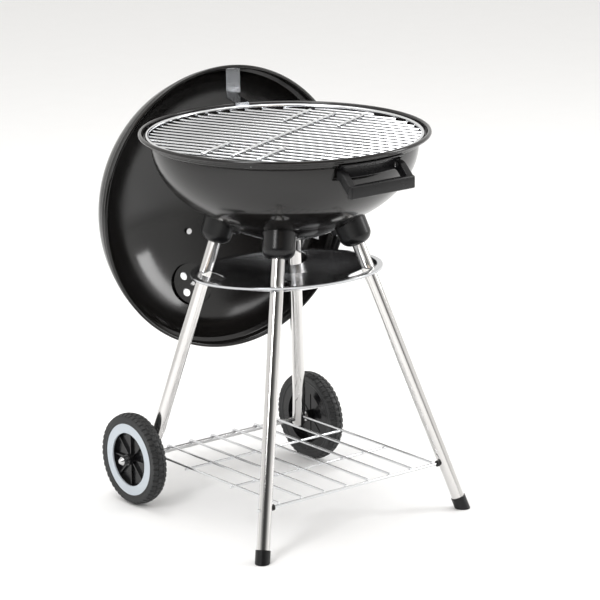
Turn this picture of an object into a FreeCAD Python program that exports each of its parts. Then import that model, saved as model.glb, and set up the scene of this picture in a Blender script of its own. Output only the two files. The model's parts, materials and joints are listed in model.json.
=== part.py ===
import FreeCAD, Part
import math
import os

os.makedirs("parts", exist_ok=True)

# Kettle charcoal grill on four tube legs, in millimetres.
# +Z is up. The bowl's front handle faces -Y, the two wheels stand at +Y and their axle runs along X.
# Every piece is made with the bowl's axis as the Z axis and the floor at zero height. At the end all
# of them move together, so that the origin is on the floor in the middle of the grill's bounding box.

Vector = FreeCAD.Vector
ORIGIN = Vector(0, 0, 0)
UP = Vector(0, 0, 1)
ALONG_X = Vector(1, 0, 0)
ALONG_Y = Vector(0, 1, 0)

# ---------------------------------------------------------------- driving dimensions

# Bowl
rim_height = 619.0
lip_radius = 230.0
bowl_depth = 169.0
sheet = 1.2
lip_bead_radius = 3.4
wall_below_lip = 19.0
wall_inset_from_lip = 20.0
wall_drop = 138.0
crease_radius = 118.0
bottom_flat_radius = 42.0
grate_ledge_below_rim = 9.0
ledge_width = 7.0

# Cooking grate
ring_wire = 6.0
grate_wire = 5.0
bar_pitch = 19.0
grate_turn = 24.0
long_brace_half = 174.0
short_brace_half = 46.0
short_brace_offset = 135.0
short_brace_spread = 48.0
ring_side_clearance = 2.9
weld_sink = 0.5

# Charcoal grate
charcoal_ring_inset = 58.0
charcoal_bar_pitch = 20.0

# Legs and sockets
leg_diameter = 21.0
leg_wall = 1.2
foot_x = 204.0
foot_y = 191.0
socket_x = 80.0
socket_y = 81.6
socket_mouth_drop = 11.0
socket_depth = 24.0
socket_radius = 26.0
socket_mouth_radius = 15.0
bend_x = 144.5
bend_y = 154.0
bend_height = 122.0
bend_radius = 90.0
axle_leg_x = 157.5
rear_leg_end = 9.0
foot_cap_wall = 1.2
foot_cap_length = 20.0
leg_floor_gap = 9.0
socket_bolt_radius = 80.0
socket_lug_radius = 11.0
socket_lug_thickness = 9.0
socket_bolt_shank = 3.0
socket_bolt_length = 18.0
socket_bolt_head = 5.6
socket_bolt_head_height = 3.6
socket_nut_corner = 5.4
socket_nut_height = 4.6

# Axle and wheels
axle_diameter = 8.0
axle_y = 172.0
wheel_radius = 75.0
tyre_width = 25.4
tyre_shoulder = 3.5
rim_radius = 59.0
wheel_mid_x = 182.6
trim_inner_radius = 45.8
trim_thickness = 2.5
hub_width = 23.0
hub_web_thickness = 3.0
spoke_count = 8
boss_radius = 9.0
boss_inner_x = 172.6
boss_outer_x = 197.0
hub_running_clearance = 0.06
cap_nut_length = 13.5
cap_nut_radius = 7.0
washer_thickness = 1.0
washer_radius = 8.0

# Bottom rack
rack_wire = 4.0
rack_front_wire = 5.0
rack_wire_count = 8
rack_wire_pitch = 44.5
rack_brace_front_y = -54.0
rack_brace_rear_y = 64.0
rack_hook_turn = 150.0
rack_end_gap = 6.0
grommet_radius = 5.0
grommet_length = 4.0

# Ash catcher
ash_catcher_drop = 54.0
ash_catcher_tilt = 4.0
dish_radius = 153.0
dish_depth = 23.0
dish_flat_radius = 70.0
dish_brim_width = 8.0
dish_edge_height = 4.0
dish_hole_radius = 21.0

# Bowl handles
handle_half_width = 63.0
grip_reach = 36.0
grip_depth = 12.0
grip_height = 20.0
grip_below_rim = 61.0
handle_arm_width = 12.0
handle_plate_half_angle = 16.0
handle_bolt_offset = 50.0
handle_bolt_below_rim = 27.5
handle_bolt_diameter = 5.0
handle_head_seat = 3.2
handle_bolt_length = 11.5
handle_bolt_head = 4.8
handle_bolt_head_height = 3.2
handle_nut_corner = 4.6
handle_nut_height = 4.0

# Lid
lid_overlap = 6.0
lid_bead_radius = 2.8
lid_skirt = 20.0
lid_step = 7.0
lid_depth = 140.0
lid_drop = 179.0
lid_facing = 84.2
lid_lean = 2.0
lid_standoff = 26.0
lid_side_shift = 9.0
hook_azimuth = 70.0
hook_half_angle = 3.0
hook_thickness = 1.6
hook_leg = 7.0
hook_tail_inset = 5.0
hook_rivet_radius = 2.0
hook_rivet_half_angle = 1.7
lid_handle_half = 70.0
lid_handle_turn = 93.0
lid_handle_bar = 14.0
lid_handle_screw_radius = 2.5
lid_handle_screw_head = 5.0
lid_handle_screw_length = 14.0
lid_handle_rise = 42.0
lid_handle_depth = 22.0
lid_handle_post = 16.0

# Vents
vent_seat_radius = 36.0
vent_seat_depth = 6.0
vent_hole_radius = 7.0
vent_hole_circle = 20.0
damper_radius = 31.0
damper_sheet = 1.2
vent_holes = 4
lid_vent_radius = 150.0
lid_vent_angle = 96.0
bottom_vent_circle = 22.0
bottom_vent_hole_radius = 8.0
bottom_damper_radius = 36.0
bottom_tab_reach = 60.0
lid_damper_tab_reach = 32.5
lid_damper_tab_width = 12.0
lid_damper_lug = 9.0
bottom_tab_width = 14.0
bottom_tab_lug = 16.0
rivet_radius = 2.5
rivet_head_radius = 5.0
rivet_head_height = 1.8

# Clearances
body_gap = 0.3
ellipse_arc_count = 5
ellipse_spline_steps = 14
hole_clearance = 0.2
slip = 0.15
thread_gap = 0.02

# ---------------------------------------------------------------- worked-out places

rest_gap = 0.05
leg_radius = leg_diameter / 2
axle_radius = axle_diameter / 2
axle_z = wheel_radius
bowl_bottom = rim_height - bowl_depth
wall_radius = lip_radius - wall_inset_from_lip
wall_top = rim_height - wall_below_lip
bead_centre_radius = lip_radius - lip_bead_radius
bead_height = rim_height - lip_bead_radius
lip_wall_outer = bead_centre_radius - lip_bead_radius + 0.4
seat_radius = lip_wall_outer - ledge_width
ledge_height = rim_height - grate_ledge_below_rim
ring_radius = lip_wall_outer - sheet - ring_side_clearance - ring_wire / 2
ring_height = ledge_height + ring_wire / 2 + rest_gap
bar_height = ring_height - ring_wire / 2 - grate_wire / 2 + weld_sink
brace_height = bar_height + grate_wire - weld_sink
socket_mouth = bowl_bottom - socket_mouth_drop
dish_height = bowl_bottom - ash_catcher_drop
lid_lip_radius = lip_radius + lid_overlap
lid_skirt_outer = lid_lip_radius - 2 * lid_bead_radius + 0.4 + sheet
lid_dome_radius = lid_skirt_outer - lid_step


# ---------------------------------------------------------------- small helpers

NODES = {}


def save(name, *solids):
    """Keep one node: a single solid, or a group of separate solids."""
    NODES[name] = solids[0] if len(solids) == 1 else Part.makeCompound(list(solids))


def polar(angle, radius, height):
    turn = math.radians(angle)
    return Vector(radius * math.cos(turn), radius * math.sin(turn), height)


def section_point(radius, height):
    return Vector(radius, 0, height)


def rod(start, end, radius):
    along = end - start
    return Part.makeCylinder(radius, along.Length, start, along)


def drill(centre, along, radius, reach):
    """A cylinder centred on a point, to be cut away as a through hole."""
    step = Vector(along).normalize() * reach
    return rod(centre - step, centre + step, radius)


def fuse(shapes):
    whole = shapes[0]
    if len(shapes) > 1:
        whole = whole.multiFuse(shapes[1:])
    return whole.removeSplitter()


def lines(points):
    return [Part.makeLine(a, b) for a, b in zip(points, points[1:])]


def spin(edges, axis=UP, angle=360.0):
    """Turn a closed section about an axis through the origin."""
    face = Part.Face(Part.Wire(Part.sortEdges(edges)[0]))
    solid = face.revolve(ORIGIN, axis, angle)
    if solid.Volume < 0:
        solid.reverse()
    return solid


def axis_arc(r1, z1, r2, z2):
    """Arc through two section points whose centre lies on the Z axis."""
    centre = (r2 * r2 + z2 * z2 - r1 * r1 - z1 * z1) / (2 * (z2 - z1))
    radius = math.hypot(r1, z1 - centre)
    a1 = math.atan2(z1 - centre, r1)
    a2 = math.atan2(z2 - centre, r2)
    middle = (a1 + a2) / 2
    top = section_point(radius * math.cos(middle), centre + radius * math.sin(middle))
    return Part.Arc(section_point(r1, z1), top, section_point(r2, z2)).toShape()


def ellipse_spline(half_width, half_height, centre_z, first, last):
    """Part of an ellipse in the section plane as one smooth curve, between two angles in radians."""
    points = []
    for step in range(ellipse_spline_steps + 1):
        angle = first + (last - first) * step / ellipse_spline_steps
        points.append(section_point(half_width * math.cos(angle), centre_z + half_height * math.sin(angle)))
    curve = Part.BSplineCurve()
    curve.interpolate(points)
    return curve.toShape()


def ellipse_arcs(half_width, half_height, centre_z, first, last):
    """Part of an ellipse in the section plane as a chain of circle arcs, between two angles in radians."""
    points = []
    for step in range(2 * ellipse_arc_count + 1):
        angle = first + (last - first) * step / (2 * ellipse_arc_count)
        points.append(section_point(half_width * math.cos(angle), centre_z + half_height * math.sin(angle)))
    arcs = []
    for k in range(ellipse_arc_count):
        arcs.append(Part.Arc(points[2 * k], points[2 * k + 1], points[2 * k + 2]).toShape())
    return arcs


def ring(centre_radius, height, wire_radius):
    return Part.makeTorus(centre_radius, wire_radius, Vector(0, 0, height), UP)


def bolt(seat, inward, shank_radius, shank_length, head_radius, head_height):
    """Hex bolt: seat is the point under the head, inward is the way the shank runs."""
    inward = Vector(inward).normalize()
    head = hexagon(seat, inward * -1, head_radius, head_height)
    return head.fuse(Part.makeCylinder(shank_radius, shank_length, seat, inward))


def hexagon(base, along, corner_radius, height):
    along = Vector(along).normalize()
    side = along.cross(UP)
    if side.Length < 0.1:
        side = along.cross(ALONG_X)
    side.normalize()
    other = along.cross(side)
    corners = []
    for k in range(7):
        turn = math.radians(60 * k)
        spoke = side * math.cos(turn) + other * math.sin(turn)
        corners.append(base + spoke * corner_radius)
    return Part.Face(Part.makePolygon(corners)).extrude(along * height)


def nut(base, along, corner_radius, height, bore_radius):
    body = hexagon(base, along, corner_radius, height)
    return body.cut(drill(base, along, bore_radius, 3 * height))


# ---------------------------------------------------------------- bowl

crease_angle = math.acos(crease_radius / wall_radius)


def bowl_edges(inset):
    """Section of the bowl from the axis up to the top of its wall, moved inwards by inset."""
    half_width = wall_radius - inset
    half_height = wall_drop - inset
    low = bowl_bottom + inset
    crease_r = half_width * math.cos(crease_angle)
    crease_z = wall_top - half_height * math.sin(crease_angle)
    flat_end = bottom_flat_radius
    edges = lines([section_point(0, low), section_point(flat_end, low)])
    edges.append(axis_arc(flat_end, low, crease_r, crease_z))
    edges += ellipse_arcs(half_width, half_height, wall_top, -crease_angle, 0.0)
    return edges


def bowl_envelope(grow):
    """Solid that fills the bowl's wall and everything inside it, grown by a gap."""
    top = wall_top + 5.0
    edges = bowl_edges(-grow)
    edges += lines([section_point(wall_radius + grow, wall_top),
                    section_point(seat_radius + sheet + grow, top - grow),
                    section_point(seat_radius + sheet + grow, ledge_height),
                    section_point(0, ledge_height),
                    section_point(0, bowl_bottom - grow)])
    return spin(edges)


def cap_normal_point(radius):
    """Point on the bowl's rounded bottom at this radius, and the way out of the sheet there."""
    crease_z = wall_top - wall_drop * math.sin(crease_angle)
    flat = bottom_flat_radius
    squares = crease_radius ** 2 + crease_z ** 2 - flat ** 2 - bowl_bottom ** 2
    centre = squares / (2 * (crease_z - bowl_bottom))
    ball = math.hypot(flat, bowl_bottom - centre)
    height = centre - math.sqrt(ball * ball - radius * radius)
    return height, radius / ball, (height - centre) / ball


def socket_bolt_line(angle):
    height, out, down = cap_normal_point(socket_bolt_radius)
    turn = math.radians(angle)
    normal = Vector(out * math.cos(turn), out * math.sin(turn), down)
    return polar(angle, socket_bolt_radius, height), normal


socket_angle = math.degrees(math.atan2(socket_y, socket_x))
SOCKET_ANGLES = {"front_left": 180 + socket_angle, "front_right": -socket_angle,
                 "rear_left": 180 - socket_angle, "rear_right": socket_angle}

handle_bolt_height = rim_height - handle_bolt_below_rim
handle_bolt_angle = math.degrees(math.asin(handle_bolt_offset / wall_radius))
HANDLE_ANGLES = {"front": -90.0, "rear": 90.0}


def make_bowl():
    """Pressed sheet bowl: flat vent floor, rounded bottom, creased wall, grate ledge and rolled lip."""
    seat_low = wall_top + 5.0
    outer = bowl_edges(0.0)
    inner = bowl_edges(sheet)
    rim = [section_point(wall_radius, wall_top),
           section_point(seat_radius + sheet, seat_low),
           section_point(seat_radius + sheet, ledge_height - sheet),
           section_point(lip_wall_outer, ledge_height - sheet),
           section_point(lip_wall_outer, bead_height),
           section_point(lip_wall_outer - sheet, bead_height),
           section_point(lip_wall_outer - sheet, ledge_height),
           section_point(seat_radius, ledge_height),
           section_point(seat_radius, seat_low),
           section_point(wall_radius - sheet, wall_top)]
    foot = lines([section_point(0, bowl_bottom + sheet), section_point(0, bowl_bottom)])
    shell = spin(outer + lines(rim) + inner + foot)
    shell = shell.fuse(ring(bead_centre_radius, bead_height, lip_bead_radius))
    cuts = []
    for k in range(vent_holes):
        spot = polar(90.0 * k + 45, bottom_vent_circle, bowl_bottom)
        cuts.append(drill(spot, UP, bottom_vent_hole_radius, 10))
    cuts.append(drill(Vector(0, 0, bowl_bottom), UP, rivet_radius + hole_clearance, 10))
    for angle in SOCKET_ANGLES.values():
        point, normal = socket_bolt_line(angle)
        cuts.append(drill(point, normal, socket_bolt_shank + hole_clearance, 8))
    for facing in HANDLE_ANGLES.values():
        for side in (-1, 1):
            angle = facing + side * handle_bolt_angle
            point = polar(angle, wall_radius, handle_bolt_height)
            cuts.append(drill(point, polar(angle, 1, 0), handle_bolt_diameter / 2 + hole_clearance, 8))
    for cutter in cuts:
        shell = shell.cut(cutter)
    return shell.removeSplitter()


# ---------------------------------------------------------------- bowl handles

plate_outer_radius = wall_radius + 6.0


def make_handle(facing):
    """Moulded handle: a curved back plate under the lip, two arms that slope down, and a grip bar."""
    plate_low = handle_bolt_height - 8.0
    plate_high = ledge_height - 2.4
    section = lines([section_point(wall_radius - 8, plate_low),
                     section_point(plate_outer_radius - 2, plate_low),
                     section_point(plate_outer_radius, wall_top),
                     section_point(lip_wall_outer + 1, plate_high - 2),
                     section_point(lip_wall_outer + 1, plate_high),
                     section_point(wall_radius - 8, plate_high),
                     section_point(wall_radius - 8, plate_low)])
    plate = spin(section, UP, 2 * handle_plate_half_angle)
    plate.rotate(ORIGIN, UP, -handle_plate_half_angle)
    grip_outer = wall_radius - 5.0 + grip_reach
    grip_inner = grip_outer - grip_depth
    grip_low = rim_height - grip_below_rim
    grip_high = grip_low + grip_height
    grip = Part.makeBox(grip_depth, 2 * handle_half_width, grip_height,
                        Vector(grip_inner, -handle_half_width, grip_low))
    pieces = [plate, grip]
    arm_low = plate_low + 1.0
    arm_high = wall_top + 2.0
    for side in (-1, 1):
        start = handle_half_width - handle_arm_width
        y = start if side > 0 else -handle_half_width
        outline = [Vector(wall_radius - 14, y, arm_high), Vector(plate_outer_radius, y, arm_high),
                   Vector(grip_outer, y, grip_high), Vector(grip_outer, y, grip_low),
                   Vector(grip_inner, y, grip_low), Vector(wall_radius - 14, y, arm_low),
                   Vector(wall_radius - 14, y, arm_high)]
        pieces.append(Part.Face(Part.makePolygon(outline)).extrude(Vector(0, handle_arm_width, 0)))
    handle = fuse(pieces).cut(bowl_envelope(body_gap))
    long_edges = []
    for edge in handle.Edges:
        box = edge.BoundBox
        if box.YLength > 1.9 * handle_half_width - 1 and box.XMin > grip_inner - 1:
            long_edges.append(edge)
    handle = handle.makeFillet(2.5, long_edges)
    for side in (-1, 1):
        angle = side * handle_bolt_angle
        point = polar(angle, wall_radius, handle_bolt_height)
        way = polar(angle, 1, 0)
        handle = handle.cut(drill(point, way, handle_bolt_diameter / 2 + hole_clearance, 30))
        pocket = Part.makeCylinder(5.6, 40, point + way * handle_head_seat, way)
        handle = handle.cut(pocket)
    handle.rotate(ORIGIN, UP, facing)
    return handle




def handle_fasteners():
    bolts = []
    nuts = []
    for facing in HANDLE_ANGLES.values():
        for side in (-1, 1):
            angle = facing + side * handle_bolt_angle
            inward = polar(angle, -1, 0)
            seat = polar(angle, wall_radius + handle_head_seat, handle_bolt_height)
            bolts.append(bolt(seat, inward, handle_bolt_diameter / 2, handle_bolt_length,
                              handle_bolt_head, handle_bolt_head_height))
            base = polar(angle, wall_radius - sheet - 0.8, handle_bolt_height)
            nuts.append(nut(base, inward, handle_nut_corner, handle_nut_height,
                            handle_bolt_diameter / 2 + thread_gap))
    return bolts, nuts


# ---------------------------------------------------------------- grates

def grate_bars(radius, pitch, wire, height):
    """Parallel bars, their ends trimmed to a circle of the given radius."""
    bars = []
    disc = Part.makeCylinder(radius, 4 * wire, Vector(0, 0, height - 2 * wire))
    count = int((radius - wire) / pitch)
    for k in range(-count, count + 1):
        across = k * pitch
        half = math.sqrt(radius ** 2 - (abs(across) - wire / 2) ** 2) + 1
        bar = rod(Vector(across, -half, height), Vector(across, half, height), wire / 2)
        bars.append(bar.common(disc))
    return bars


def make_cooking_grate():
    """Wire grate: a ring on top, parallel bars welded under it, five short and long braces over them."""
    pieces = [ring(ring_radius, ring_height, ring_wire / 2)]
    pieces += grate_bars(seat_radius - 0.8, bar_pitch, grate_wire, bar_height)
    radius = grate_wire / 2
    pieces.append(rod(Vector(-long_brace_half, 0, brace_height),
                      Vector(long_brace_half, 0, brace_height), radius))
    for side in (-1, 1):
        for shift in (-short_brace_spread, short_brace_spread):
            centre = side * short_brace_offset
            start = Vector(centre - short_brace_half, shift, brace_height)
            end = Vector(centre + short_brace_half, shift, brace_height)
            pieces.append(rod(start, end, radius))
    grate = fuse(pieces)
    grate.rotate(ORIGIN, UP, grate_turn)
    return grate


def ring_seat(centre_radius, wire_radius):
    """Height at which a ring of this size comes to rest on the inside of the bowl's curved wall."""
    half_width = wall_radius - sheet
    half_height = wall_drop - sheet
    low, high = 0.0, crease_angle
    reach = wire_radius + body_gap
    for _ in range(60):
        angle = (low + high) / 2
        nr = half_height * math.cos(angle)
        nz = half_width * math.sin(angle)
        size = math.hypot(nr, nz)
        if half_width * math.cos(angle) - reach * nr / size > centre_radius:
            low = angle
        else:
            high = angle
    return wall_top - half_height * math.sin(angle) + reach * nz / size


charcoal_radius = wall_radius - charcoal_ring_inset
charcoal_height = ring_seat(charcoal_radius, ring_wire / 2)


def make_charcoal_grate():
    """Lower grate for the coals: a ring that sits in the bowl's taper, bars on top, braces below."""
    pieces = [ring(charcoal_radius, charcoal_height, ring_wire / 2)]
    bar_z = charcoal_height + ring_wire / 2 + grate_wire / 2 - weld_sink
    pieces += grate_bars(charcoal_radius, charcoal_bar_pitch, grate_wire, bar_z)
    brace_z = bar_z - grate_wire + weld_sink
    for side in (-1, 1):
        across = side * charcoal_radius / 2
        half = math.sqrt(charcoal_radius ** 2 - across ** 2)
        pieces.append(rod(Vector(-half, across, brace_z), Vector(half, across, brace_z), grate_wire / 2))
    return fuse(pieces)


# ---------------------------------------------------------------- legs, sockets and feet

def side_of(name):
    return -1 if name.endswith("left") else 1


def leg_line(name):
    """Socket mouth centre, the point the upper leg heads for, and the unit vector up the leg."""
    side = side_of(name)
    if name.startswith("front"):
        mouth = Vector(side * socket_x, -socket_y, socket_mouth)
        low = Vector(side * foot_x, -foot_y, 0)
    else:
        mouth = Vector(side * socket_x, socket_y, socket_mouth)
        low = Vector(side * bend_x, bend_y, bend_height)
    return mouth, low, (mouth - low).normalize()


def make_socket(name):
    """Moulded cup that takes the top of a leg, shaped to the bowl and bolted to its bottom by a lug."""
    mouth, _, up = leg_line(name)
    rise = 16.0
    length = 70.0
    edges = lines([section_point(0, 0), section_point(socket_mouth_radius, 0)])
    bulge = section_point(socket_mouth_radius + 0.72 * (socket_radius - socket_mouth_radius), 0.36 * rise)
    arc = Part.Arc(section_point(socket_mouth_radius, 0), bulge, section_point(socket_radius, rise))
    edges.append(arc.toShape())
    edges += lines([section_point(socket_radius, rise), section_point(socket_radius, length),
                    section_point(0, length), section_point(0, 0)])
    cup = spin(edges)
    cup.Placement = FreeCAD.Placement(mouth, FreeCAD.Rotation(UP, up))
    point, normal = socket_bolt_line(SOCKET_ANGLES[name])
    lug_end = point + normal * socket_lug_thickness
    lug = rod(point - normal * 8, lug_end, socket_lug_radius)
    body = cup.fuse(lug)
    above_crease = Part.makeBox(600, 600, 200, Vector(-300, -300, wall_top - 55))
    body = body.cut(bowl_envelope(body_gap)).cut(above_crease)
    bore = Part.makeCylinder(leg_radius + slip, socket_depth + 5, mouth - up * 5, up)
    pocket = Part.makeCylinder(7.0, 40, lug_end, normal)
    shank = drill(point, normal, socket_bolt_shank + hole_clearance, 30)
    body = body.cut(Part.makeCompound([bore, pocket, shank])).removeSplitter()
    return max(body.Solids, key=lambda solid: solid.Volume)


def socket_fasteners():
    bolts = []
    nuts = []
    for angle in SOCKET_ANGLES.values():
        point, normal = socket_bolt_line(angle)
        seat = point + normal * (socket_lug_thickness + rest_gap)
        bolts.append(bolt(seat, normal * -1, socket_bolt_shank, socket_bolt_length,
                          socket_bolt_head, socket_bolt_head_height))
        base = point - normal * (sheet + 0.5)
        nuts.append(nut(base, normal * -1, socket_nut_corner, socket_nut_height,
                        socket_bolt_shank + thread_gap))
    return bolts, nuts


def make_front_leg(name):
    mouth, low, up = leg_line(name)
    start = low + up * leg_floor_gap
    end = mouth + up * (socket_depth - slip)
    tube = rod(start, end, leg_radius).cut(rod(start - up, end + up, leg_radius - leg_wall))
    side = side_of(name)
    hole = drill(Vector(side * front_wire_leg_x, front_wire_y, front_wire_z), ALONG_X,
                 rack_front_wire / 2 + hole_clearance, 30)
    return tube.cut(hole)


def bent_tube(points, corner_radius, radius):
    """Round bar along two straight runs joined by a tangent arc."""
    first, corner, last = points
    into = (corner - first).normalize()
    out = (last - corner).normalize()
    turn = into.getAngle(out)
    back = corner_radius * math.tan(turn / 2)
    a = corner - into * back
    b = corner + out * back
    inward = (out - into).normalize()
    centre = corner + inward * (corner_radius / math.cos(turn / 2))
    middle = centre + (corner - centre).normalize() * corner_radius
    path = Part.Wire([Part.makeLine(first, a), Part.Arc(a, middle, b).toShape(), Part.makeLine(b, last)])
    ring_wire_shape = Part.Wire([Part.makeCircle(radius, first, into)])
    return path.makePipeShell([ring_wire_shape], True, False)


def make_rear_leg(name):
    """Rear leg: straight from the socket, then bent a little outwards to meet the axle."""
    mouth, corner, up = leg_line(name)
    side = side_of(name)
    hub = Vector(side * axle_leg_x, axle_y, axle_z)
    out = (hub - corner).normalize()
    top = mouth + up * (socket_depth - slip)
    end = hub + out * rear_leg_end
    outer = bent_tube([top, corner, end], bend_radius, leg_radius)
    inner = bent_tube([top + up, corner, end + out], bend_radius, leg_radius - leg_wall)
    hole = drill(hub, ALONG_X, axle_radius + hole_clearance, 40)
    return outer.cut(inner).cut(hole)


def make_foot_cap(name):
    """Push-on plastic foot: a sleeve round the end of the leg, cut flat where it meets the floor."""
    _, low, up = leg_line(name)
    outer = rod(low - up * 12, low + up * foot_cap_length, leg_radius + slip + foot_cap_wall)
    bore = rod(low + up * (leg_floor_gap - rest_gap), low + up * (foot_cap_length + 5), leg_radius + slip)
    below = Part.makeBox(100, 100, 60, Vector(low.x - 50, low.y - 50, -60))
    return outer.cut(bore).cut(below)


# ---------------------------------------------------------------- axle, wheels and rack

rack_z = axle_z + axle_radius + body_gap + rack_wire / 2
front_wire_z = rack_z - rack_wire / 2 - rack_front_wire / 2 + weld_sink
front_share = front_wire_z / socket_mouth
front_wire_leg_x = foot_x + (socket_x - foot_x) * front_share
front_wire_y = -(foot_y + (socket_y - foot_y) * front_share)


def make_rack():
    """Welded wire shelf: long wires hook over the axle, the front wire is held in the front legs.

    The two outer wires stop short of the rear legs instead, because the legs stand where they'd hook.
    """
    hook_radius = rack_z - axle_z
    turn = math.radians(90 - rack_hook_turn)
    middle = math.radians(90 - rack_hook_turn / 2)
    pieces = []
    for k in range(rack_wire_count):
        x = (k - (rack_wire_count - 1) / 2) * rack_wire_pitch
        start = Vector(x, front_wire_y - 1.5, rack_z)
        if k in (0, rack_wire_count - 1):
            pieces.append(rod(start, Vector(x, axle_y - leg_radius - rack_end_gap, rack_z), rack_wire / 2))
            continue
        top = Vector(x, axle_y, rack_z)
        way = Vector(x, axle_y + hook_radius * math.cos(middle), axle_z + hook_radius * math.sin(middle))
        end = Vector(x, axle_y + hook_radius * math.cos(turn), axle_z + hook_radius * math.sin(turn))
        path = Part.Wire([Part.makeLine(start, top), Part.Arc(top, way, end).toShape()])
        ends = Part.Wire([Part.makeCircle(rack_wire / 2, start, ALONG_Y)])
        pieces.append(path.makePipeShell([ends], True, False))
    tip = front_wire_leg_x + leg_radius + 4.0
    pieces.append(rod(Vector(-tip, front_wire_y, front_wire_z), Vector(tip, front_wire_y, front_wire_z),
                      rack_front_wire / 2))
    half = (rack_wire_count - 1) / 2 * rack_wire_pitch + 4.0
    brace_z = rack_z - rack_wire + weld_sink
    for y in (rack_brace_front_y, rack_brace_rear_y):
        pieces.append(rod(Vector(-half, y, brace_z), Vector(half, y, brace_z), rack_wire / 2))
    return fuse(pieces)


def make_grommets():
    """Plastic collars where the rack's front wire enters the legs."""
    grommets = []
    for side in (-1, 1):
        near = side * (front_wire_leg_x - leg_radius - 1.6)
        start = Vector(near, front_wire_y, front_wire_z)
        end = start - ALONG_X * (side * grommet_length)
        collar = rod(start, end, grommet_radius)
        grommets.append(collar.cut(drill(start, ALONG_X, rack_front_wire / 2 + 0.1, 20)))
    return grommets


def on_axle(shape, side):
    """Move a wheel piece, made about the Z axis with its outer face up, to its place on the axle."""
    place = Vector(side * wheel_mid_x, axle_y, axle_z)
    shape.Placement = FreeCAD.Placement(place, FreeCAD.Rotation(UP, ALONG_X * side))
    return shape


def make_tyre(side):
    half = tyre_width / 2
    inner = rim_radius + slip
    shoulder = wheel_radius - tyre_shoulder
    crown = [section_point(shoulder, -half), section_point(wheel_radius, 0), section_point(shoulder, half)]
    edges = lines([section_point(inner, -half + 1), section_point(shoulder - 3, -half), crown[0]])
    edges.append(Part.Arc(*crown).toShape())
    edges += lines([crown[2], section_point(shoulder - 3, half), section_point(inner, half - 1),
                    section_point(inner, -half + 1)])
    return on_axle(spin(edges), side)


def make_hub(side):
    """Moulded wheel centre: barrel, thin web, ribs on both faces and a long boss for the axle."""
    half = hub_width / 2
    barrel_inner = trim_inner_radius - 1.0
    barrel = Part.makeCylinder(rim_radius, hub_width, Vector(0, 0, -half))
    barrel = barrel.cut(Part.makeCylinder(barrel_inner, hub_width + 2, Vector(0, 0, -half - 1)))
    web = Part.makeCylinder(barrel_inner + 1, hub_web_thickness)
    boss_low = boss_inner_x - wheel_mid_x
    boss_high = boss_outer_x - wheel_mid_x
    boss = Part.makeCylinder(boss_radius, boss_high - boss_low, Vector(0, 0, boss_low))
    pieces = [barrel, web, boss]
    rib = Part.makeBox(barrel_inner + 0.5, 2.4, 8.0, Vector(0, -1.2, -1))
    for k in range(spoke_count):
        turned = rib.copy()
        turned.rotate(ORIGIN, UP, 360.0 * k / spoke_count)
        pieces.append(turned)
    hub = fuse(pieces)
    recess = Part.makeCylinder(rim_radius + 1, trim_thickness + 1, Vector(0, 0, half - trim_thickness))
    recess = recess.cut(Part.makeCylinder(trim_inner_radius - 2, trim_thickness + 3, Vector(0, 0, half - 4)))
    bore = drill(ORIGIN, UP, axle_radius + hub_running_clearance, 60)
    return on_axle(hub.cut(recess).cut(bore), side)


def make_trim_ring(side):
    """Pale ring pressed on the outer face of the wheel, between the tyre and the hub."""
    half = hub_width / 2
    outer = Part.makeCylinder(rim_radius, trim_thickness, Vector(0, 0, half - trim_thickness + rest_gap))
    inner = Part.makeCylinder(trim_inner_radius - 2 + slip, trim_thickness + 4, Vector(0, 0, half - 6))
    return on_axle(outer.cut(inner), side)


axle_half = boss_outer_x + 8.0


def make_axle():
    return rod(Vector(-axle_half, axle_y, axle_z), Vector(axle_half, axle_y, axle_z), axle_radius)


def axle_hardware():
    nuts = []
    washers = []
    for side in (-1, 1):
        start = Vector(side * (boss_outer_x + 0.4), axle_y, axle_z)
        way = ALONG_X * side
        body = Part.makeCylinder(cap_nut_radius, cap_nut_length - 4, start, way)
        dome = Part.makeCone(cap_nut_radius, cap_nut_radius - 3, 4, start + way * (cap_nut_length - 4), way)
        bore_length = axle_half - boss_outer_x - 0.2
        bore = Part.makeCylinder(axle_radius + thread_gap, bore_length, start - way * 0.1, way)
        nuts.append(body.fuse(dome).cut(bore).removeSplitter())
        inner = Vector(side * (boss_inner_x - 0.3), axle_y, axle_z)
        disc = Part.makeCylinder(washer_radius, washer_thickness, inner, way * -1)
        washers.append(disc.cut(drill(inner, ALONG_X, axle_radius + 0.1, 10)))
    return nuts, washers


# ---------------------------------------------------------------- ash catcher

def make_ash_catcher():
    """Pressed round dish with a turned-down edge, hung on the four splayed legs.

    The rear legs splay less than the front ones, so the dish comes to rest a little lower at the rear.
    """
    low = -dish_depth
    brim = dish_radius - dish_brim_width
    edges = lines([section_point(0, low), section_point(dish_flat_radius, low)])
    edges.append(axis_arc(dish_flat_radius, low, brim, -sheet))
    edges += lines([section_point(brim, -sheet), section_point(dish_radius - sheet, -sheet),
                    section_point(dish_radius - sheet, -dish_edge_height),
                    section_point(dish_radius, -dish_edge_height), section_point(dish_radius, 0),
                    section_point(brim - 1, 0)])
    edges.append(axis_arc(dish_flat_radius - 1, low + sheet, brim - 1, 0))
    edges += lines([section_point(dish_flat_radius - 1, low + sheet), section_point(0, low + sheet),
                    section_point(0, low)])
    dish = spin(edges)
    place = FreeCAD.Placement(Vector(0, 0, dish_height), FreeCAD.Rotation(ALONG_X, -ash_catcher_tilt))
    dish.Placement = place
    normal = place.Rotation.multVec(UP)
    for name in SOCKET_ANGLES:
        mouth, _, up = leg_line(name)
        crossing = mouth + up * ((place.Base - mouth).dot(normal) / up.dot(normal))
        outward = (crossing - place.Base).normalize()
        lean = math.sqrt(1 - up.dot(normal) ** 2)
        leg_edge = leg_radius / up.dot(normal) + lean * sheet
        centre = crossing + outward * (leg_edge + slip - dish_hole_radius)
        dish = dish.cut(drill(centre, normal, dish_hole_radius, 12))
    return dish


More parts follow.
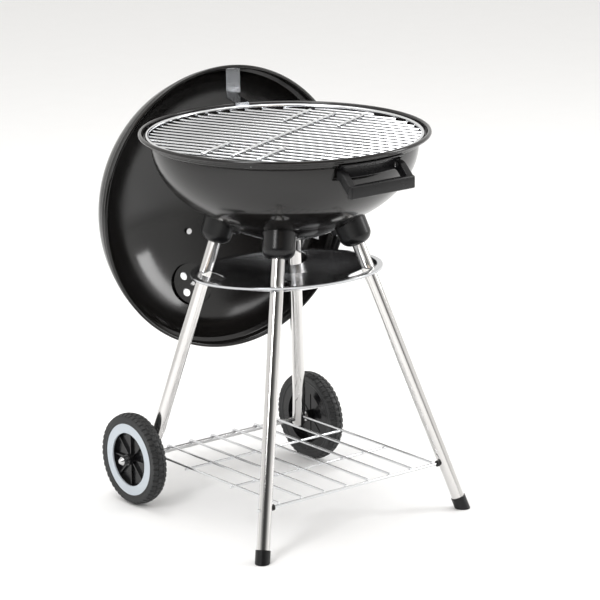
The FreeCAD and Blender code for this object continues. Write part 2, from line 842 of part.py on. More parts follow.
# ---------------------------------------------------------------- lid

lid_tilt = FreeCAD.Rotation(ALONG_X, -90 - lid_lean)
lid_turn = FreeCAD.Rotation(UP, lid_facing - 90)
lid_rotation = lid_turn.multiply(lid_tilt)
hook_point = polar(hook_azimuth, bead_centre_radius, rim_height)
lid_centre = (hook_point + polar(lid_facing, lid_standoff, 0)
              + polar(lid_facing + 90, lid_side_shift, 0) - UP * lid_drop)
LID_PLACE = FreeCAD.Placement(lid_centre, lid_rotation)
lid_dome_base = lid_skirt + 6.0
lid_dome_height = lid_depth - lid_dome_base


def lid_edges(inset):
    """Section of the lid's dome from the shoulder up to the axis, moved inwards by inset."""
    return [ellipse_spline(lid_dome_radius - inset, lid_dome_height - inset, lid_dome_base,
                           0.0, math.pi / 2)]


def lid_envelope(inset):
    """Solid that fills the lid's mouth, up to its outer skin moved inwards by inset."""
    skirt_r = lid_skirt_outer - inset
    edges = lines([section_point(0, 0), section_point(skirt_r, 0), section_point(skirt_r, lid_skirt),
                   section_point(lid_dome_radius - inset, lid_dome_base)])
    edges += lid_edges(inset)
    edges += lines([section_point(0, lid_depth - inset), section_point(0, 0)])
    return spin(edges)


def lid_vent_frame():
    """Place of the lid's vent: its centre on the dome and the way out of the sheet there."""
    share = lid_vent_radius / lid_dome_radius
    height = lid_dome_base + lid_dome_height * math.sqrt(1 - share * share)
    nr = lid_vent_radius / lid_dome_radius ** 2
    nz = (height - lid_dome_base) / lid_dome_height ** 2
    turn = math.radians(lid_vent_angle)
    normal = Vector(nr * math.cos(turn), nr * math.sin(turn), nz).normalize()
    return polar(lid_vent_angle, lid_vent_radius, height), normal


VENT_POINT, VENT_NORMAL = lid_vent_frame()
VENT_PLACE = FreeCAD.Placement(VENT_POINT, FreeCAD.Rotation(UP, VENT_NORMAL))
LID_VENT = LID_PLACE.multiply(VENT_PLACE)


def placed(shape, place):
    shape.Placement = place.multiply(shape.Placement)
    return shape


def vent_cutters(circle, hole_radius, count, reach):
    return [drill(polar(360.0 * k / count + 45, circle, 0), UP, hole_radius, reach) for k in range(count)]


HANDLE_TURN = FreeCAD.Placement(ORIGIN, FreeCAD.Rotation(UP, lid_handle_turn))


def lid_handle_points():
    """Where the two screws stand, before the handle is turned to its place on the dome."""
    return [Vector(side * (lid_handle_half - lid_handle_post / 2), 0, 0) for side in (-1, 1)]


def dome_height_at(radius):
    share = radius / lid_dome_radius
    return lid_dome_base + lid_dome_height * math.sqrt(1 - share * share)


def make_lid():
    """Domed lid: rolled lip, skirt that laps the bowl, shoulder, dome and a pressed-in vent seat."""
    shell = lid_envelope(0.0).cut(lid_envelope(sheet))
    lip = ring(lid_lip_radius - lid_bead_radius, lid_bead_radius, lid_bead_radius)
    shell = shell.fuse(lip)
    seat_outer = Part.makeCylinder(vent_seat_radius, 40, Vector(0, 0, -vent_seat_depth - sheet))
    seat_inner = Part.makeCylinder(vent_seat_radius - sheet, 60, Vector(0, 0, -vent_seat_depth))
    seat = placed(seat_outer.cut(seat_inner), VENT_PLACE)
    seat = seat.common(lid_envelope(0.0))
    hole = Part.makeCylinder(vent_seat_radius - sheet / 2, 60, Vector(0, 0, -vent_seat_depth))
    hole = placed(hole, VENT_PLACE)
    shell = shell.cut(hole).fuse(seat)
    cuts = [placed(c, VENT_PLACE) for c in vent_cutters(vent_hole_circle, vent_hole_radius, vent_holes, 12)]
    cuts.append(placed(drill(ORIGIN, UP, rivet_radius + hole_clearance, 12), VENT_PLACE))
    for point in lid_handle_points():
        spot = HANDLE_TURN.multVec(point + UP * lid_depth)
        cuts.append(drill(spot, UP, lid_handle_screw_radius + hole_clearance, 20))
    for angle in hook_rivet_spots():
        cuts.append(drill(polar(angle, skirt_inner, hook_rivet_height), polar(angle, 1, 0),
                          hook_rivet_radius + slip / 3, 5))
    for cutter in cuts:
        shell = shell.cut(cutter)
    return placed(shell.removeSplitter(), LID_PLACE)


def make_lid_handle():
    """Moulded bridge handle on the top of the dome."""
    top = lid_depth + lid_handle_rise
    post_base = dome_height_at(lid_handle_half) - 4
    depth = lid_handle_depth
    bar = Part.makeBox(2 * lid_handle_half, depth, lid_handle_bar,
                       Vector(-lid_handle_half, -depth / 2, top - lid_handle_bar))
    pieces = [bar]
    for point in lid_handle_points():
        corner = Vector(point.x - lid_handle_post / 2, -depth / 2, post_base)
        pieces.append(Part.makeBox(lid_handle_post, depth, top - lid_handle_bar / 2 - post_base, corner))
    handle = fuse(pieces).cut(lid_envelope(-body_gap))
    long_edges = [e for e in handle.Edges if e.BoundBox.XLength > 1.9 * lid_handle_half]
    handle = handle.makeFillet(4.0, long_edges)
    for point in lid_handle_points():
        handle = handle.cut(drill(point + UP * lid_depth, UP, lid_handle_screw_radius + rest_gap, 16))
    return placed(handle, LID_PLACE.multiply(HANDLE_TURN))


def lid_handle_screws():
    screws = []
    for point in lid_handle_points():
        base = point + UP * (dome_height_at(abs(point.x) + 6) - sheet - 0.9)
        head = Part.makeCylinder(lid_handle_screw_head, 2.4, base - UP * 2.4)
        shank = Part.makeCylinder(lid_handle_screw_radius, lid_handle_screw_length, base)
        screws.append(placed(head.fuse(shank).removeSplitter(), LID_PLACE.multiply(HANDLE_TURN)))
    return screws


hook_reach = lid_standoff + lid_lip_radius * math.tan(math.radians(lid_lean))
hook_tail_x = lip_radius + hook_reach / math.cos(math.radians(lid_facing - hook_azimuth)) + hook_tail_inset
hook_top = LID_PLACE.inverse().multVec(polar(hook_azimuth, hook_tail_x, rim_height + 45))
hook_pad_angle = math.degrees(math.atan2(hook_top.y, hook_top.x))
skirt_inner = lid_skirt_outer - sheet
hook_rivet_height = lid_skirt - 4.0


def hook_rivet_spots():
    return [hook_pad_angle + side * hook_rivet_half_angle for side in (-1, 1)]


def make_lid_hook():
    """Strip hook: a saddle over the bowl's lip, an arm back into the lid, a tail and a riveted pad."""
    saddle_in = lip_wall_outer - sheet - 0.4 - hook_thickness
    low = rim_height + body_gap
    tip = rim_height - hook_leg + 2
    leg = lines([section_point(saddle_in, tip), section_point(saddle_in + hook_thickness, tip),
                 section_point(saddle_in + hook_thickness, low),
                 section_point(lip_radius + 8, low), section_point(lip_radius + 8, low + hook_thickness),
                 section_point(saddle_in, low + hook_thickness),
                 section_point(saddle_in, tip)])
    saddle = spin(leg, UP, 2 * hook_half_angle)
    saddle.rotate(ORIGIN, UP, hook_azimuth - hook_half_angle)
    half = bead_centre_radius * math.sin(math.radians(hook_half_angle))
    arm_start = lip_radius + 6
    arm = Part.makeBox(hook_tail_x - arm_start, 2 * half, hook_thickness, Vector(arm_start, -half, low))
    tail = Part.makeBox(hook_thickness, 2 * half, 80, Vector(hook_tail_x - hook_thickness, -half, low))
    for piece in (arm, tail):
        piece.rotate(ORIGIN, UP, hook_azimuth)
    tail = tail.common(placed(lid_envelope(sheet + rest_gap), LID_PLACE))
    pad_outer = skirt_inner - rest_gap
    pad_low = lid_bead_radius * 2 + 0.6
    pad_inner = pad_outer - hook_thickness
    pad = spin(lines([section_point(pad_inner, pad_low), section_point(pad_outer, pad_low),
                      section_point(pad_outer, lid_skirt), section_point(pad_inner, lid_skirt),
                      section_point(pad_inner, pad_low)]), UP, 2 * hook_half_angle)
    pad.rotate(ORIGIN, UP, hook_pad_angle - hook_half_angle)
    hook = fuse([saddle, arm, tail, placed(pad, LID_PLACE)])
    for angle in hook_rivet_spots():
        hole = drill(polar(angle, pad_outer, hook_rivet_height), polar(angle, 1, 0),
                     hook_rivet_radius + slip / 3, 5)
        hook = hook.cut(placed(hole, LID_PLACE))
    return hook


def lid_hook_rivets():
    rivets = []
    for angle in hook_rivet_spots():
        rivet = Part.makeCylinder(hook_rivet_radius, sheet + hook_thickness + 6 * rest_gap)
        rivet = fuse([rivet, Part.makeCylinder(3.6, 1.4, Vector(0, 0, -1.4)),
                      Part.makeCone(3.6, 2.2, 1.4, Vector(0, 0, sheet + hook_thickness + 6 * rest_gap))])
        start = polar(angle, skirt_inner - hook_thickness - 3 * rest_gap, hook_rivet_height)
        place = FreeCAD.Placement(start, FreeCAD.Rotation(UP, polar(angle, 1, 0)))
        rivets.append(placed(rivet, LID_PLACE.multiply(place)))
    return rivets


def make_damper(radius, circle, hole_radius, tab_reach, tab_width, tab_height):
    """Turning vent disc, made flat on the XY plane with its tab along +X and its outer face up."""
    disc = Part.makeCylinder(radius, damper_sheet)
    tab = Part.makeBox(tab_reach - radius + 8, tab_width, damper_sheet,
                       Vector(radius - 8, -tab_width / 2, 0))
    lug = Part.makeBox(damper_sheet, tab_width, tab_height,
                       Vector(tab_reach - damper_sheet, -tab_width / 2, 0))
    damper = fuse([disc, tab, lug])
    cuts = vent_cutters(circle, hole_radius, vent_holes, 10)
    cuts.append(drill(ORIGIN, UP, rivet_radius + 0.05, 10))
    return damper.cut(Part.makeCompound(cuts))


def make_rivet(grip):
    """Rivet through a vent and its disc, made along Z; grip is the stack from inner to outer head."""
    shank = Part.makeCylinder(rivet_radius, grip)
    low = Part.makeCone(rivet_head_radius - 1.5, rivet_head_radius, rivet_head_height,
                        Vector(0, 0, -rivet_head_height))
    high = Part.makeCone(rivet_head_radius, rivet_head_radius - 1.5, rivet_head_height, Vector(0, 0, grip))
    return fuse([shank, low, high])


# ---------------------------------------------------------------- write every node

save("bowl", make_bowl())
for side_name, way in HANDLE_ANGLES.items():
    save("bowl_handle_" + side_name, make_handle(way))
handle_bolts, handle_nuts = handle_fasteners()
save("handle_bolts", *handle_bolts)
save("handle_nuts", *handle_nuts)
save("cooking_grate", make_cooking_grate())
save("charcoal_grate", make_charcoal_grate())

for leg_name in SOCKET_ANGLES:
    save("leg_socket_" + leg_name, make_socket(leg_name))
socket_bolts, socket_nuts = socket_fasteners()
save("socket_bolts", *socket_bolts)
save("socket_nuts", *socket_nuts)
for leg_name in ("front_left", "front_right"):
    save("leg_" + leg_name, make_front_leg(leg_name))
    save("foot_cap_" + leg_name, make_foot_cap(leg_name))
for leg_name in ("rear_left", "rear_right"):
    save("leg_" + leg_name, make_rear_leg(leg_name))

save("ash_catcher", make_ash_catcher())
save("bottom_rack", make_rack())
save("rack_grommets", *make_grommets())
save("axle", make_axle())
for side_name, way in (("left", -1), ("right", 1)):
    save("wheel_hub_" + side_name, make_hub(way))
    save("tyre_" + side_name, make_tyre(way))
    save("wheel_trim_ring_" + side_name, make_trim_ring(way))
cap_nuts, washers = axle_hardware()
save("axle_cap_nuts", *cap_nuts)
save("axle_washers", *washers)

save("lid", make_lid())
save("lid_handle", make_lid_handle())
save("lid_handle_screws", *lid_handle_screws())
save("lid_hook", make_lid_hook())
save("lid_hook_rivets", *lid_hook_rivets())

vent_floor = -vent_seat_depth
lid_damper = make_damper(damper_radius, vent_hole_circle, vent_hole_radius, lid_damper_tab_reach,
                         lid_damper_tab_width, lid_damper_lug)
lid_damper.translate(Vector(0, 0, vent_floor + rest_gap))
save("lid_damper", placed(lid_damper, LID_VENT))
lid_rivet = make_rivet(sheet + damper_sheet + 4 * rest_gap)
lid_rivet.translate(Vector(0, 0, vent_floor - sheet - rest_gap))
save("lid_damper_rivet", placed(lid_rivet, LID_VENT))

FLOOR_PLACE = FreeCAD.Placement(Vector(0, 0, bowl_bottom), FreeCAD.Rotation(ALONG_X, 180))
bottom_damper = make_damper(bottom_damper_radius, bottom_vent_circle, bottom_vent_hole_radius,
                            bottom_tab_reach, bottom_tab_width, bottom_tab_lug)
bottom_damper.translate(Vector(0, 0, rest_gap))
save("bottom_damper", placed(bottom_damper, FLOOR_PLACE))
bottom_rivet = make_rivet(sheet + damper_sheet + 4 * rest_gap)
bottom_rivet.translate(Vector(0, 0, -sheet - rest_gap))
save("bottom_damper_rivet", placed(bottom_rivet, FLOOR_PLACE))

# ---------------------------------------------------------------- move to the origin and write the files

whole_box = Part.makeCompound(list(NODES.values())).BoundBox
shift = Vector(-round(whole_box.Center.x, 1), -round(whole_box.Center.y, 1), 0)
for node_name, shape in NODES.items():
    shape.translate(shift)
    shape.exportStep("parts/" + node_name + ".step")
    print(node_name, len(shape.Solids), "solid(s)", round(shape.Volume / 1000, 2), "cm3")
print("moved by", tuple(shift))
print("lid centre", tuple(lid_centre + shift))
print("lid vent", tuple(LID_VENT.Base + shift), "facing", tuple(LID_VENT.Rotation.multVec(UP)))
print("charcoal grate height", round(charcoal_height, 2), "cooking grate height", round(ring_height, 2))
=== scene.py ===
# %% [markdown]
# # A kettle charcoal grill with its lid hung behind it
#
# The grill is a black enamelled bowl on four polished tube legs. The lid hangs by a strip hook
# from the bowl's lip, a dished ash catcher is wedged on the legs, and a wire rack joins the front
# legs to the axle of two plastic wheels. The engineering model is the frame: every piece made here
# takes its place from it and stands for one of its nodes, or for one part of the lid. The other
# nodes are shown as they are, with a finish.

# %% Start
import json
import math
import bmesh
import bpy
import numpy as np
from mathutils import Matrix, Vector


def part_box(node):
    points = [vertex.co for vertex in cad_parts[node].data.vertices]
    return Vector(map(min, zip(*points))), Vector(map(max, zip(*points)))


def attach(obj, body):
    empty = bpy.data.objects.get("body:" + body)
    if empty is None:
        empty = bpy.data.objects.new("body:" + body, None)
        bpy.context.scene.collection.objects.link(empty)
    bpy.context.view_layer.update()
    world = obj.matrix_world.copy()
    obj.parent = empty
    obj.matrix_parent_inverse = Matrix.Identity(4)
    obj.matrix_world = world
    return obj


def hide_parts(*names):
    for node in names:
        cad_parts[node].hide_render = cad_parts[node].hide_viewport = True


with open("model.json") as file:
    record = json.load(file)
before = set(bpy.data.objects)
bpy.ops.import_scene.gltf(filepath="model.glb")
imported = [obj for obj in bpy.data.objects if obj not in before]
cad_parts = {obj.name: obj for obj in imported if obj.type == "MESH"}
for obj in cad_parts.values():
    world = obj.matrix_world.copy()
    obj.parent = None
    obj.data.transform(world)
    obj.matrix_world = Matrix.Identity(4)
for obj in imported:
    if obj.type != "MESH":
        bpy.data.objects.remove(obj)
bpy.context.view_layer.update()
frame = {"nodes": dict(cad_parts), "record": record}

MM = 0.001

# %% [markdown]
# ## Where things are
#
# Lengths below are in millimetres, measured from the bowl's axis and the floor, because a kettle is
# laid out round its bowl. The axis comes from the box of the bowl, the wheels from their joints, the
# front feet from the right front foot's mount, mirrored.

# %% Anchors
record = frame["record"]
joints = {j["name"]: j for j in record["behaviour"]["joints"]}
mounts = {m["name"]: m for m in record["mounts"]}


def node_box(name):
    lo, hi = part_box(name)
    return np.array(lo) / MM, np.array(hi) / MM


bowl_lo, bowl_hi = node_box("bowl")
axis_point = np.array([(bowl_lo[0] + bowl_hi[0]) / 2, (bowl_lo[1] + bowl_hi[1]) / 2, 0.0])
lip_radius = (bowl_hi[0] - bowl_lo[0]) / 2
rim_z = bowl_hi[2]
bottom_z = bowl_lo[2]
wheel_right = np.array(joints["right_wheel_spin"]["pos_m"]) / MM - axis_point
wheel_left = np.array(joints["left_wheel_spin"]["pos_m"]) / MM - axis_point
foot_right = np.array(mounts["front_right_foot"]["pos_m"]) / MM - axis_point
vent_place = np.array(joints["lid_damper_turn"]["pos_m"]) / MM - axis_point
vent_way = np.array(joints["lid_damper_turn"]["axis"])
print("bowl axis", axis_point.round(1), "lip radius", lip_radius.round(1), "rim", rim_z.round(1))

# %% [markdown]
# ## Surfaces from numbers
#
# Every new piece is a grid of points: one parameter runs along a section, the other round or along
# the piece. The same few functions make a revolved pressing, a bent wire and a moulded bar, so a
# change of a section changes the whole piece, as it would with a real die.

# %% Grid to mesh
def grid(points, wrap_u=True, wrap_v=False, close_start=False, close_end=False):
    """Quads between neighbouring points of a grid: rows are v, columns are u.

    A closed end gets a centre point and a fan of triangles."""
    rows, cols, _ = points.shape
    index = np.arange(rows * cols).reshape(rows, cols)
    right = np.roll(index, -1, axis=1)
    if not wrap_u:
        index, right = index[:, :-1], right[:, :-1]
    low, high = index, np.roll(index, -1, axis=0)
    low_r, high_r = right, np.roll(right, -1, axis=0)
    if not wrap_v:
        low, high, low_r, high_r = low[:-1], high[:-1], low_r[:-1], high_r[:-1]
    quads = np.stack([low, low_r, high_r, high], axis=-1).reshape(-1, 4)
    verts = points.reshape(-1, 3)
    tris = []
    for wanted, row in ((close_start, 0), (close_end, rows - 1)):
        if wanted:
            ring = np.arange(cols) + row * cols
            centre = len(verts)
            verts = np.vstack([verts, points[row].mean(axis=0)])
            tris.append(np.stack([ring, np.roll(ring, -1), np.full(cols, centre)], axis=-1))
    tris = np.vstack(tris) if tris else np.zeros((0, 3), int)
    return verts, quads, tris


def join(surfaces):
    verts, quads, tris, base = [], [], [], 0
    for v, q, t in surfaces:
        verts.append(v)
        quads.append(q + base)
        tris.append(t + base)
        base += len(v)
    return np.vstack(verts), np.vstack(quads), np.vstack(tris)


def turn_matrix(along, roll=0.0):
    """Rotation whose third column is the given direction: it stands a piece made on Z along it."""
    z = np.array(along, float) / np.linalg.norm(along)
    side = np.cross([0.0, 0.0, 1.0], z)
    if np.linalg.norm(side) < 1e-6:
        side = np.array([1.0, 0.0, 0.0])
    x = side / np.linalg.norm(side)
    y = np.cross(z, x)
    c, s = math.cos(roll), math.sin(roll)
    return np.stack([c * x + s * y, -s * x + c * y, z], axis=1)


def moved(surface, rotation=None, offset=(0, 0, 0)):
    verts, quads, tris = surface
    if rotation is not None:
        verts = verts @ np.asarray(rotation).T
    return verts + np.asarray(offset, float), quads, tris


def make_piece(name, surfaces, body, material, nodes=(), sharp=35.0):
    """One object from several grids, in the row frame, smooth except across sharp edges."""
    verts, quads, tris = join(surfaces if isinstance(surfaces, list) else [surfaces])
    mesh = bpy.data.meshes.new(name)
    corners = np.concatenate([quads.ravel(), tris.ravel()])
    sizes = np.concatenate([np.full(len(quads), 4), np.full(len(tris), 3)])
    mesh.vertices.add(len(verts))
    mesh.vertices.foreach_set("co", ((verts + axis_point) * MM).astype(np.float32).ravel())
    mesh.loops.add(len(corners))
    mesh.loops.foreach_set("vertex_index", corners.astype(np.int32))
    mesh.polygons.add(len(sizes))
    starts = np.concatenate([[0], np.cumsum(sizes)[:-1]])
    mesh.polygons.foreach_set("loop_start", starts.astype(np.int32))
    mesh.update(calc_edges=True)
    work = bmesh.new()
    work.from_mesh(mesh)
    bmesh.ops.remove_doubles(work, verts=work.verts, dist=2e-6)
    bmesh.ops.recalc_face_normals(work, faces=work.faces)
    work.to_mesh(mesh)
    work.free()
    mesh.polygons.foreach_set("use_smooth", np.ones(len(mesh.polygons), bool))
    mesh.set_sharp_from_angle(angle=math.radians(sharp))
    mesh.materials.append(material)
    piece = bpy.data.objects.new(name, mesh)
    bpy.context.scene.collection.objects.link(piece)
    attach(piece, body)
    if nodes:
        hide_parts(*nodes)
    print(f"{name}: {len(mesh.polygons)} faces")
    return piece


# %% [markdown]
# Sections and paths are polylines with their corners rounded, because neither pressed sheet nor bent
# wire has a true corner, and the small radius is what catches a line of light.

# %% Section helpers
def rounded(points, radius, steps=5, closed=False):
    """Each corner becomes a small curve that is tangent to both sides at the given distance."""
    points = np.asarray(points, float)
    count = len(points)
    radii = np.full(count, radius, float) if np.isscalar(radius) else np.asarray(radius, float)
    out = []
    for k in range(count):
        if not closed and k in (0, count - 1):
            out.append(points[k][None])
            continue
        before, here, after = points[k - 1], points[k], points[(k + 1) % count]
        a, b = before - here, after - here
        la, lb = np.linalg.norm(a), np.linalg.norm(b)
        back = min(radii[k], 0.48 * la, 0.48 * lb)
        start, end = here + a / la * back, here + b / lb * back
        t = np.linspace(0, 1, steps)[:, None]
        out.append((1 - t) ** 2 * start + 2 * t * (1 - t) * here + t ** 2 * end)
    return np.vstack(out)


def resample(points, step):
    """The same polyline with points at most one step apart."""
    out = [points[0]]
    for a, b in zip(points, points[1:]):
        parts = max(1, int(math.ceil(np.linalg.norm(b - a) / step)))
        for k in range(1, parts + 1):
            out.append(a + (b - a) * k / parts)
    return np.array(out)


def arc(centre, radius, first, last, steps):
    """Points on a circle between two angles in degrees."""
    t = np.radians(np.linspace(first, last, steps))
    return np.stack([centre[0] + radius * np.cos(t), centre[1] + radius * np.sin(t)], axis=1)


def revolve(section, count=256, closed=False, start=0.0, sweep=360.0):
    """x = r cos u, y = r sin u, z = z of the section."""
    full = abs(sweep - 360.0) < 1e-6
    u = np.radians(start + np.linspace(0, sweep, count, endpoint=not full))
    r, z = section[:, 0][:, None], section[:, 1][:, None]
    points = np.stack([r * np.cos(u), r * np.sin(u), z + 0 * u], axis=-1)
    return grid(points, wrap_u=full, wrap_v=closed)


def frames_along(path):
    """Unit tangents and a pair of normals carried along the path without twist."""
    tangent = np.gradient(path, axis=0)
    tangent /= np.linalg.norm(tangent, axis=1)[:, None]
    first = np.cross(tangent[0], [0.0, 0.0, 1.0])
    if np.linalg.norm(first) < 1e-3:
        first = np.cross(tangent[0], [0.0, 1.0, 0.0])
    normal = [first / np.linalg.norm(first)]
    for k in range(1, len(path)):
        n = normal[-1] - tangent[k] * (normal[-1] @ tangent[k])
        normal.append(n / np.linalg.norm(n))
    normal = np.array(normal)
    return tangent, normal, np.cross(tangent, normal)


def tube(path, radius, sides=16, end_round=0.35):
    """A round bar: circles of the radius carried along the path, shrinking over rounded ends."""
    path = np.asarray(path, float)
    length = np.linalg.norm(path[1] - path[0])
    lip = min(radius * end_round, 0.4 * length)
    out_a, out_b = path[0] - path[1], path[-1] - path[-2]
    out_a, out_b = out_a / np.linalg.norm(out_a), out_b / np.linalg.norm(out_b)
    turn = np.radians([90, 65, 35, 0])
    start = [path[0] - out_a * lip * (1 - math.sin(t)) for t in turn]
    end = [path[-1] - out_b * lip * (1 - math.sin(t)) for t in turn[::-1]]
    size = np.concatenate([radius - lip * (1 - np.cos(turn)), np.full(len(path) - 2, radius),
                           radius - lip * (1 - np.cos(turn[::-1]))])
    whole = np.vstack([start, path[1:-1], end]) if len(path) > 2 else np.vstack([start, end])
    tangent, n1, n2 = frames_along(path)
    pick = np.concatenate([np.zeros(4, int), np.arange(1, len(path) - 1), np.full(4, len(path) - 1)])
    u = np.linspace(0, 2 * np.pi, sides, endpoint=False)
    ring = np.cos(u)[None, :, None] * n1[pick][:, None] + np.sin(u)[None, :, None] * n2[pick][:, None]
    points = whole[:, None] + ring * size[:, None, None]
    return grid(points, close_start=True, close_end=True)


def pipe(path, radius, wall, sides=48):
    """A hollow tube: outer wall, a flat ring across each end and the inner wall."""
    path = np.asarray(path, float)
    tangent, n1, n2 = frames_along(path)
    rows = len(path)
    order = np.concatenate([np.arange(rows), np.arange(rows)[::-1]])
    size = np.concatenate([np.full(rows, radius), np.full(rows, radius - wall)])
    u = np.linspace(0, 2 * np.pi, sides, endpoint=False)
    ring = np.cos(u)[None, :, None] * n1[order][:, None] + np.sin(u)[None, :, None] * n2[order][:, None]
    return grid(path[order][:, None] + ring * size[:, None, None], wrap_v=True)


def torus(centre_radius, height, radius, count=256, sides=16):
    section = arc((centre_radius, height), radius, 0, 360 * (sides - 1) / sides, sides)
    return revolve(section, count, closed=True)


def hexagonal(corner_radius, height, chamfer, bore=0.0, count=72):
    """A hexagon whose top corners are turned off: radius of the flats by direction, capped by a cone."""
    u = np.linspace(0, 2 * np.pi, count, endpoint=False)
    fold = np.abs((u + np.pi / 6) % (np.pi / 3) - np.pi / 6)
    across = corner_radius * math.cos(math.pi / 6) / np.cos(fold)
    rows = [(bore, 0.0), (across - 0.3, 0.0), (across, 0.3), (across, height - chamfer),
            (np.minimum(across, corner_radius - 0.35 * chamfer), height - 0.55 * chamfer),
            (np.minimum(across, corner_radius * 0.87 - 0.2), height), (bore, height)]
    points = []
    for radius, z in rows:
        radius = radius + 0 * u
        points.append(np.stack([radius * np.cos(u), radius * np.sin(u), z + 0 * u], axis=1))
    points = np.array(points)
    if bore:
        return grid(points, wrap_v=True)
    return grid(points[1:-1], close_start=True, close_end=True)


def holed_sector(outline, hole, radius, height, thick, rows=7):
    """A flat or pressed patch with one round hole.

    outline is a closed loop of plan points round the hole; rays run from the hole's edge to it.
    height(x, y) gives the upper face; the lower face is one thickness below."""
    way = outline - hole
    angle = np.arctan2(way[:, 1], way[:, 0])
    rim = hole + radius * np.stack([np.cos(angle), np.sin(angle)], axis=1)
    t = (np.linspace(1, 0, rows) ** 1.3)[:, None, None]
    plan = rim[None] + (outline - rim)[None] * t
    top = np.dstack([plan, height(plan[..., 0], plan[..., 1])])
    low = top[::-1].copy()
    low[..., 2] -= thick
    mid = (top[-1:] + low[:1]) / 2
    return grid(np.vstack([top, mid, low]))


def sector_loop(r1, r2, first, last, steps=14):
    """Closed loop round a piece of a ring between two radii and two angles in degrees."""
    outer = arc((0, 0), r2, first, last, steps * 2)
    inner = arc((0, 0), r1, last, first, steps * 2)
    side_a = outer[-1] + (inner[0] - outer[-1]) * np.linspace(0, 1, steps + 2)[1:-1, None]
    side_b = inner[-1] + (outer[0] - inner[-1]) * np.linspace(0, 1, steps + 2)[1:-1, None]
    return np.vstack([outer, side_a, inner, side_b])


def soft_box(centre, size, radius, steps=4):
    """A block with all its edges rounded: a grid of superellipse rings stacked along z."""
    half = np.asarray(size, float) / 2
    core = half - radius
    corner = np.radians(np.linspace(0, 90, steps + 1))
    ring = []
    for k, (sx, sy) in enumerate(((1, 1), (-1, 1), (-1, -1), (1, -1))):
        a = corner if k % 2 == 0 else corner[::-1]
        one = np.ones_like(a)
        ring.append(np.stack([sx * np.cos(a), sy * np.sin(a), sx * one, sy * one], axis=1))
    ring = np.vstack(ring)
    rows = []
    lift = np.radians(np.linspace(-90, 0, steps + 1))
    for sign in (-1, 1):
        for a in (lift if sign < 0 else lift[::-1]):
            shrink, z = math.cos(a), sign * (core[2] + radius * math.sin(abs(a)))
            rows.append(np.stack([ring[:, 2] * core[0] + ring[:, 0] * radius * shrink,
                                  ring[:, 3] * core[1] + ring[:, 1] * radius * shrink,
                                  np.full(len(ring), z)], axis=1))
    return moved(grid(np.array(rows), close_start=True, close_end=True), None, centre)


# %% [markdown]
# ## Finishes
#
# The finishes share a few effects. Each is a node group that gives back only a mask or a normal:
# slow smudges that change how sharp a reflection is, a light bloom of dust on faces that look up,
# and the pebbled skin of moulded plastic.

# %% Effect groups
def new_group(name, inputs, outputs):
    group = bpy.data.node_groups.new(name, "ShaderNodeTree")
    for label, kind, value in inputs:
        socket = group.interface.new_socket(label, in_out="INPUT", socket_type=kind)
        if value is not None:
            socket.default_value = value
    for label, kind in outputs:
        group.interface.new_socket(label, in_out="OUTPUT", socket_type=kind)
    nodes = group.nodes
    return group, nodes, group.links, nodes.new("NodeGroupInput"), nodes.new("NodeGroupOutput")


def smudge_group():
    """Mask of slow smears: one noise stretched to the range low to high."""
    group, nodes, links, source, sink = new_group(
        "Smudges", [("Scale", "NodeSocketFloat", 9.0), ("Low", "NodeSocketFloat", 0.05),
                    ("High", "NodeSocketFloat", 0.12)], [("Roughness", "NodeSocketFloat")])
    place = nodes.new("ShaderNodeTexCoord")
    broad = nodes.new("ShaderNodeTexNoise")
    broad.inputs["Detail"].default_value = 6.0
    links.new(place.outputs["Object"], broad.inputs["Vector"])
    links.new(source.outputs["Scale"], broad.inputs["Scale"])
    spread = nodes.new("ShaderNodeMapRange")
    spread.inputs["From Min"].default_value = 0.35
    spread.inputs["From Max"].default_value = 0.68
    links.new(broad.outputs["Fac"], spread.inputs["Value"])
    links.new(source.outputs["Low"], spread.inputs["To Min"])
    links.new(source.outputs["High"], spread.inputs["To Max"])
    links.new(spread.outputs["Result"], sink.inputs["Roughness"])
    return group


def skin_group():
    """Normal of a fine uneven skin: a noise used as height."""
    group, nodes, links, source, sink = new_group(
        "Skin", [("Scale", "NodeSocketFloat", 400.0), ("Height", "NodeSocketFloat", 0.0001)],
        [("Normal", "NodeSocketVector")])
    place = nodes.new("ShaderNodeTexCoord")
    noise = nodes.new("ShaderNodeTexNoise")
    noise.inputs["Detail"].default_value = 3.0
    links.new(place.outputs["Object"], noise.inputs["Vector"])
    links.new(source.outputs["Scale"], noise.inputs["Scale"])
    bump = nodes.new("ShaderNodeBump")
    bump.inputs["Strength"].default_value = 1.0
    links.new(noise.outputs["Fac"], bump.inputs["Height"])
    links.new(source.outputs["Height"], bump.inputs["Distance"])
    links.new(bump.outputs["Normal"], sink.inputs["Normal"])
    return group


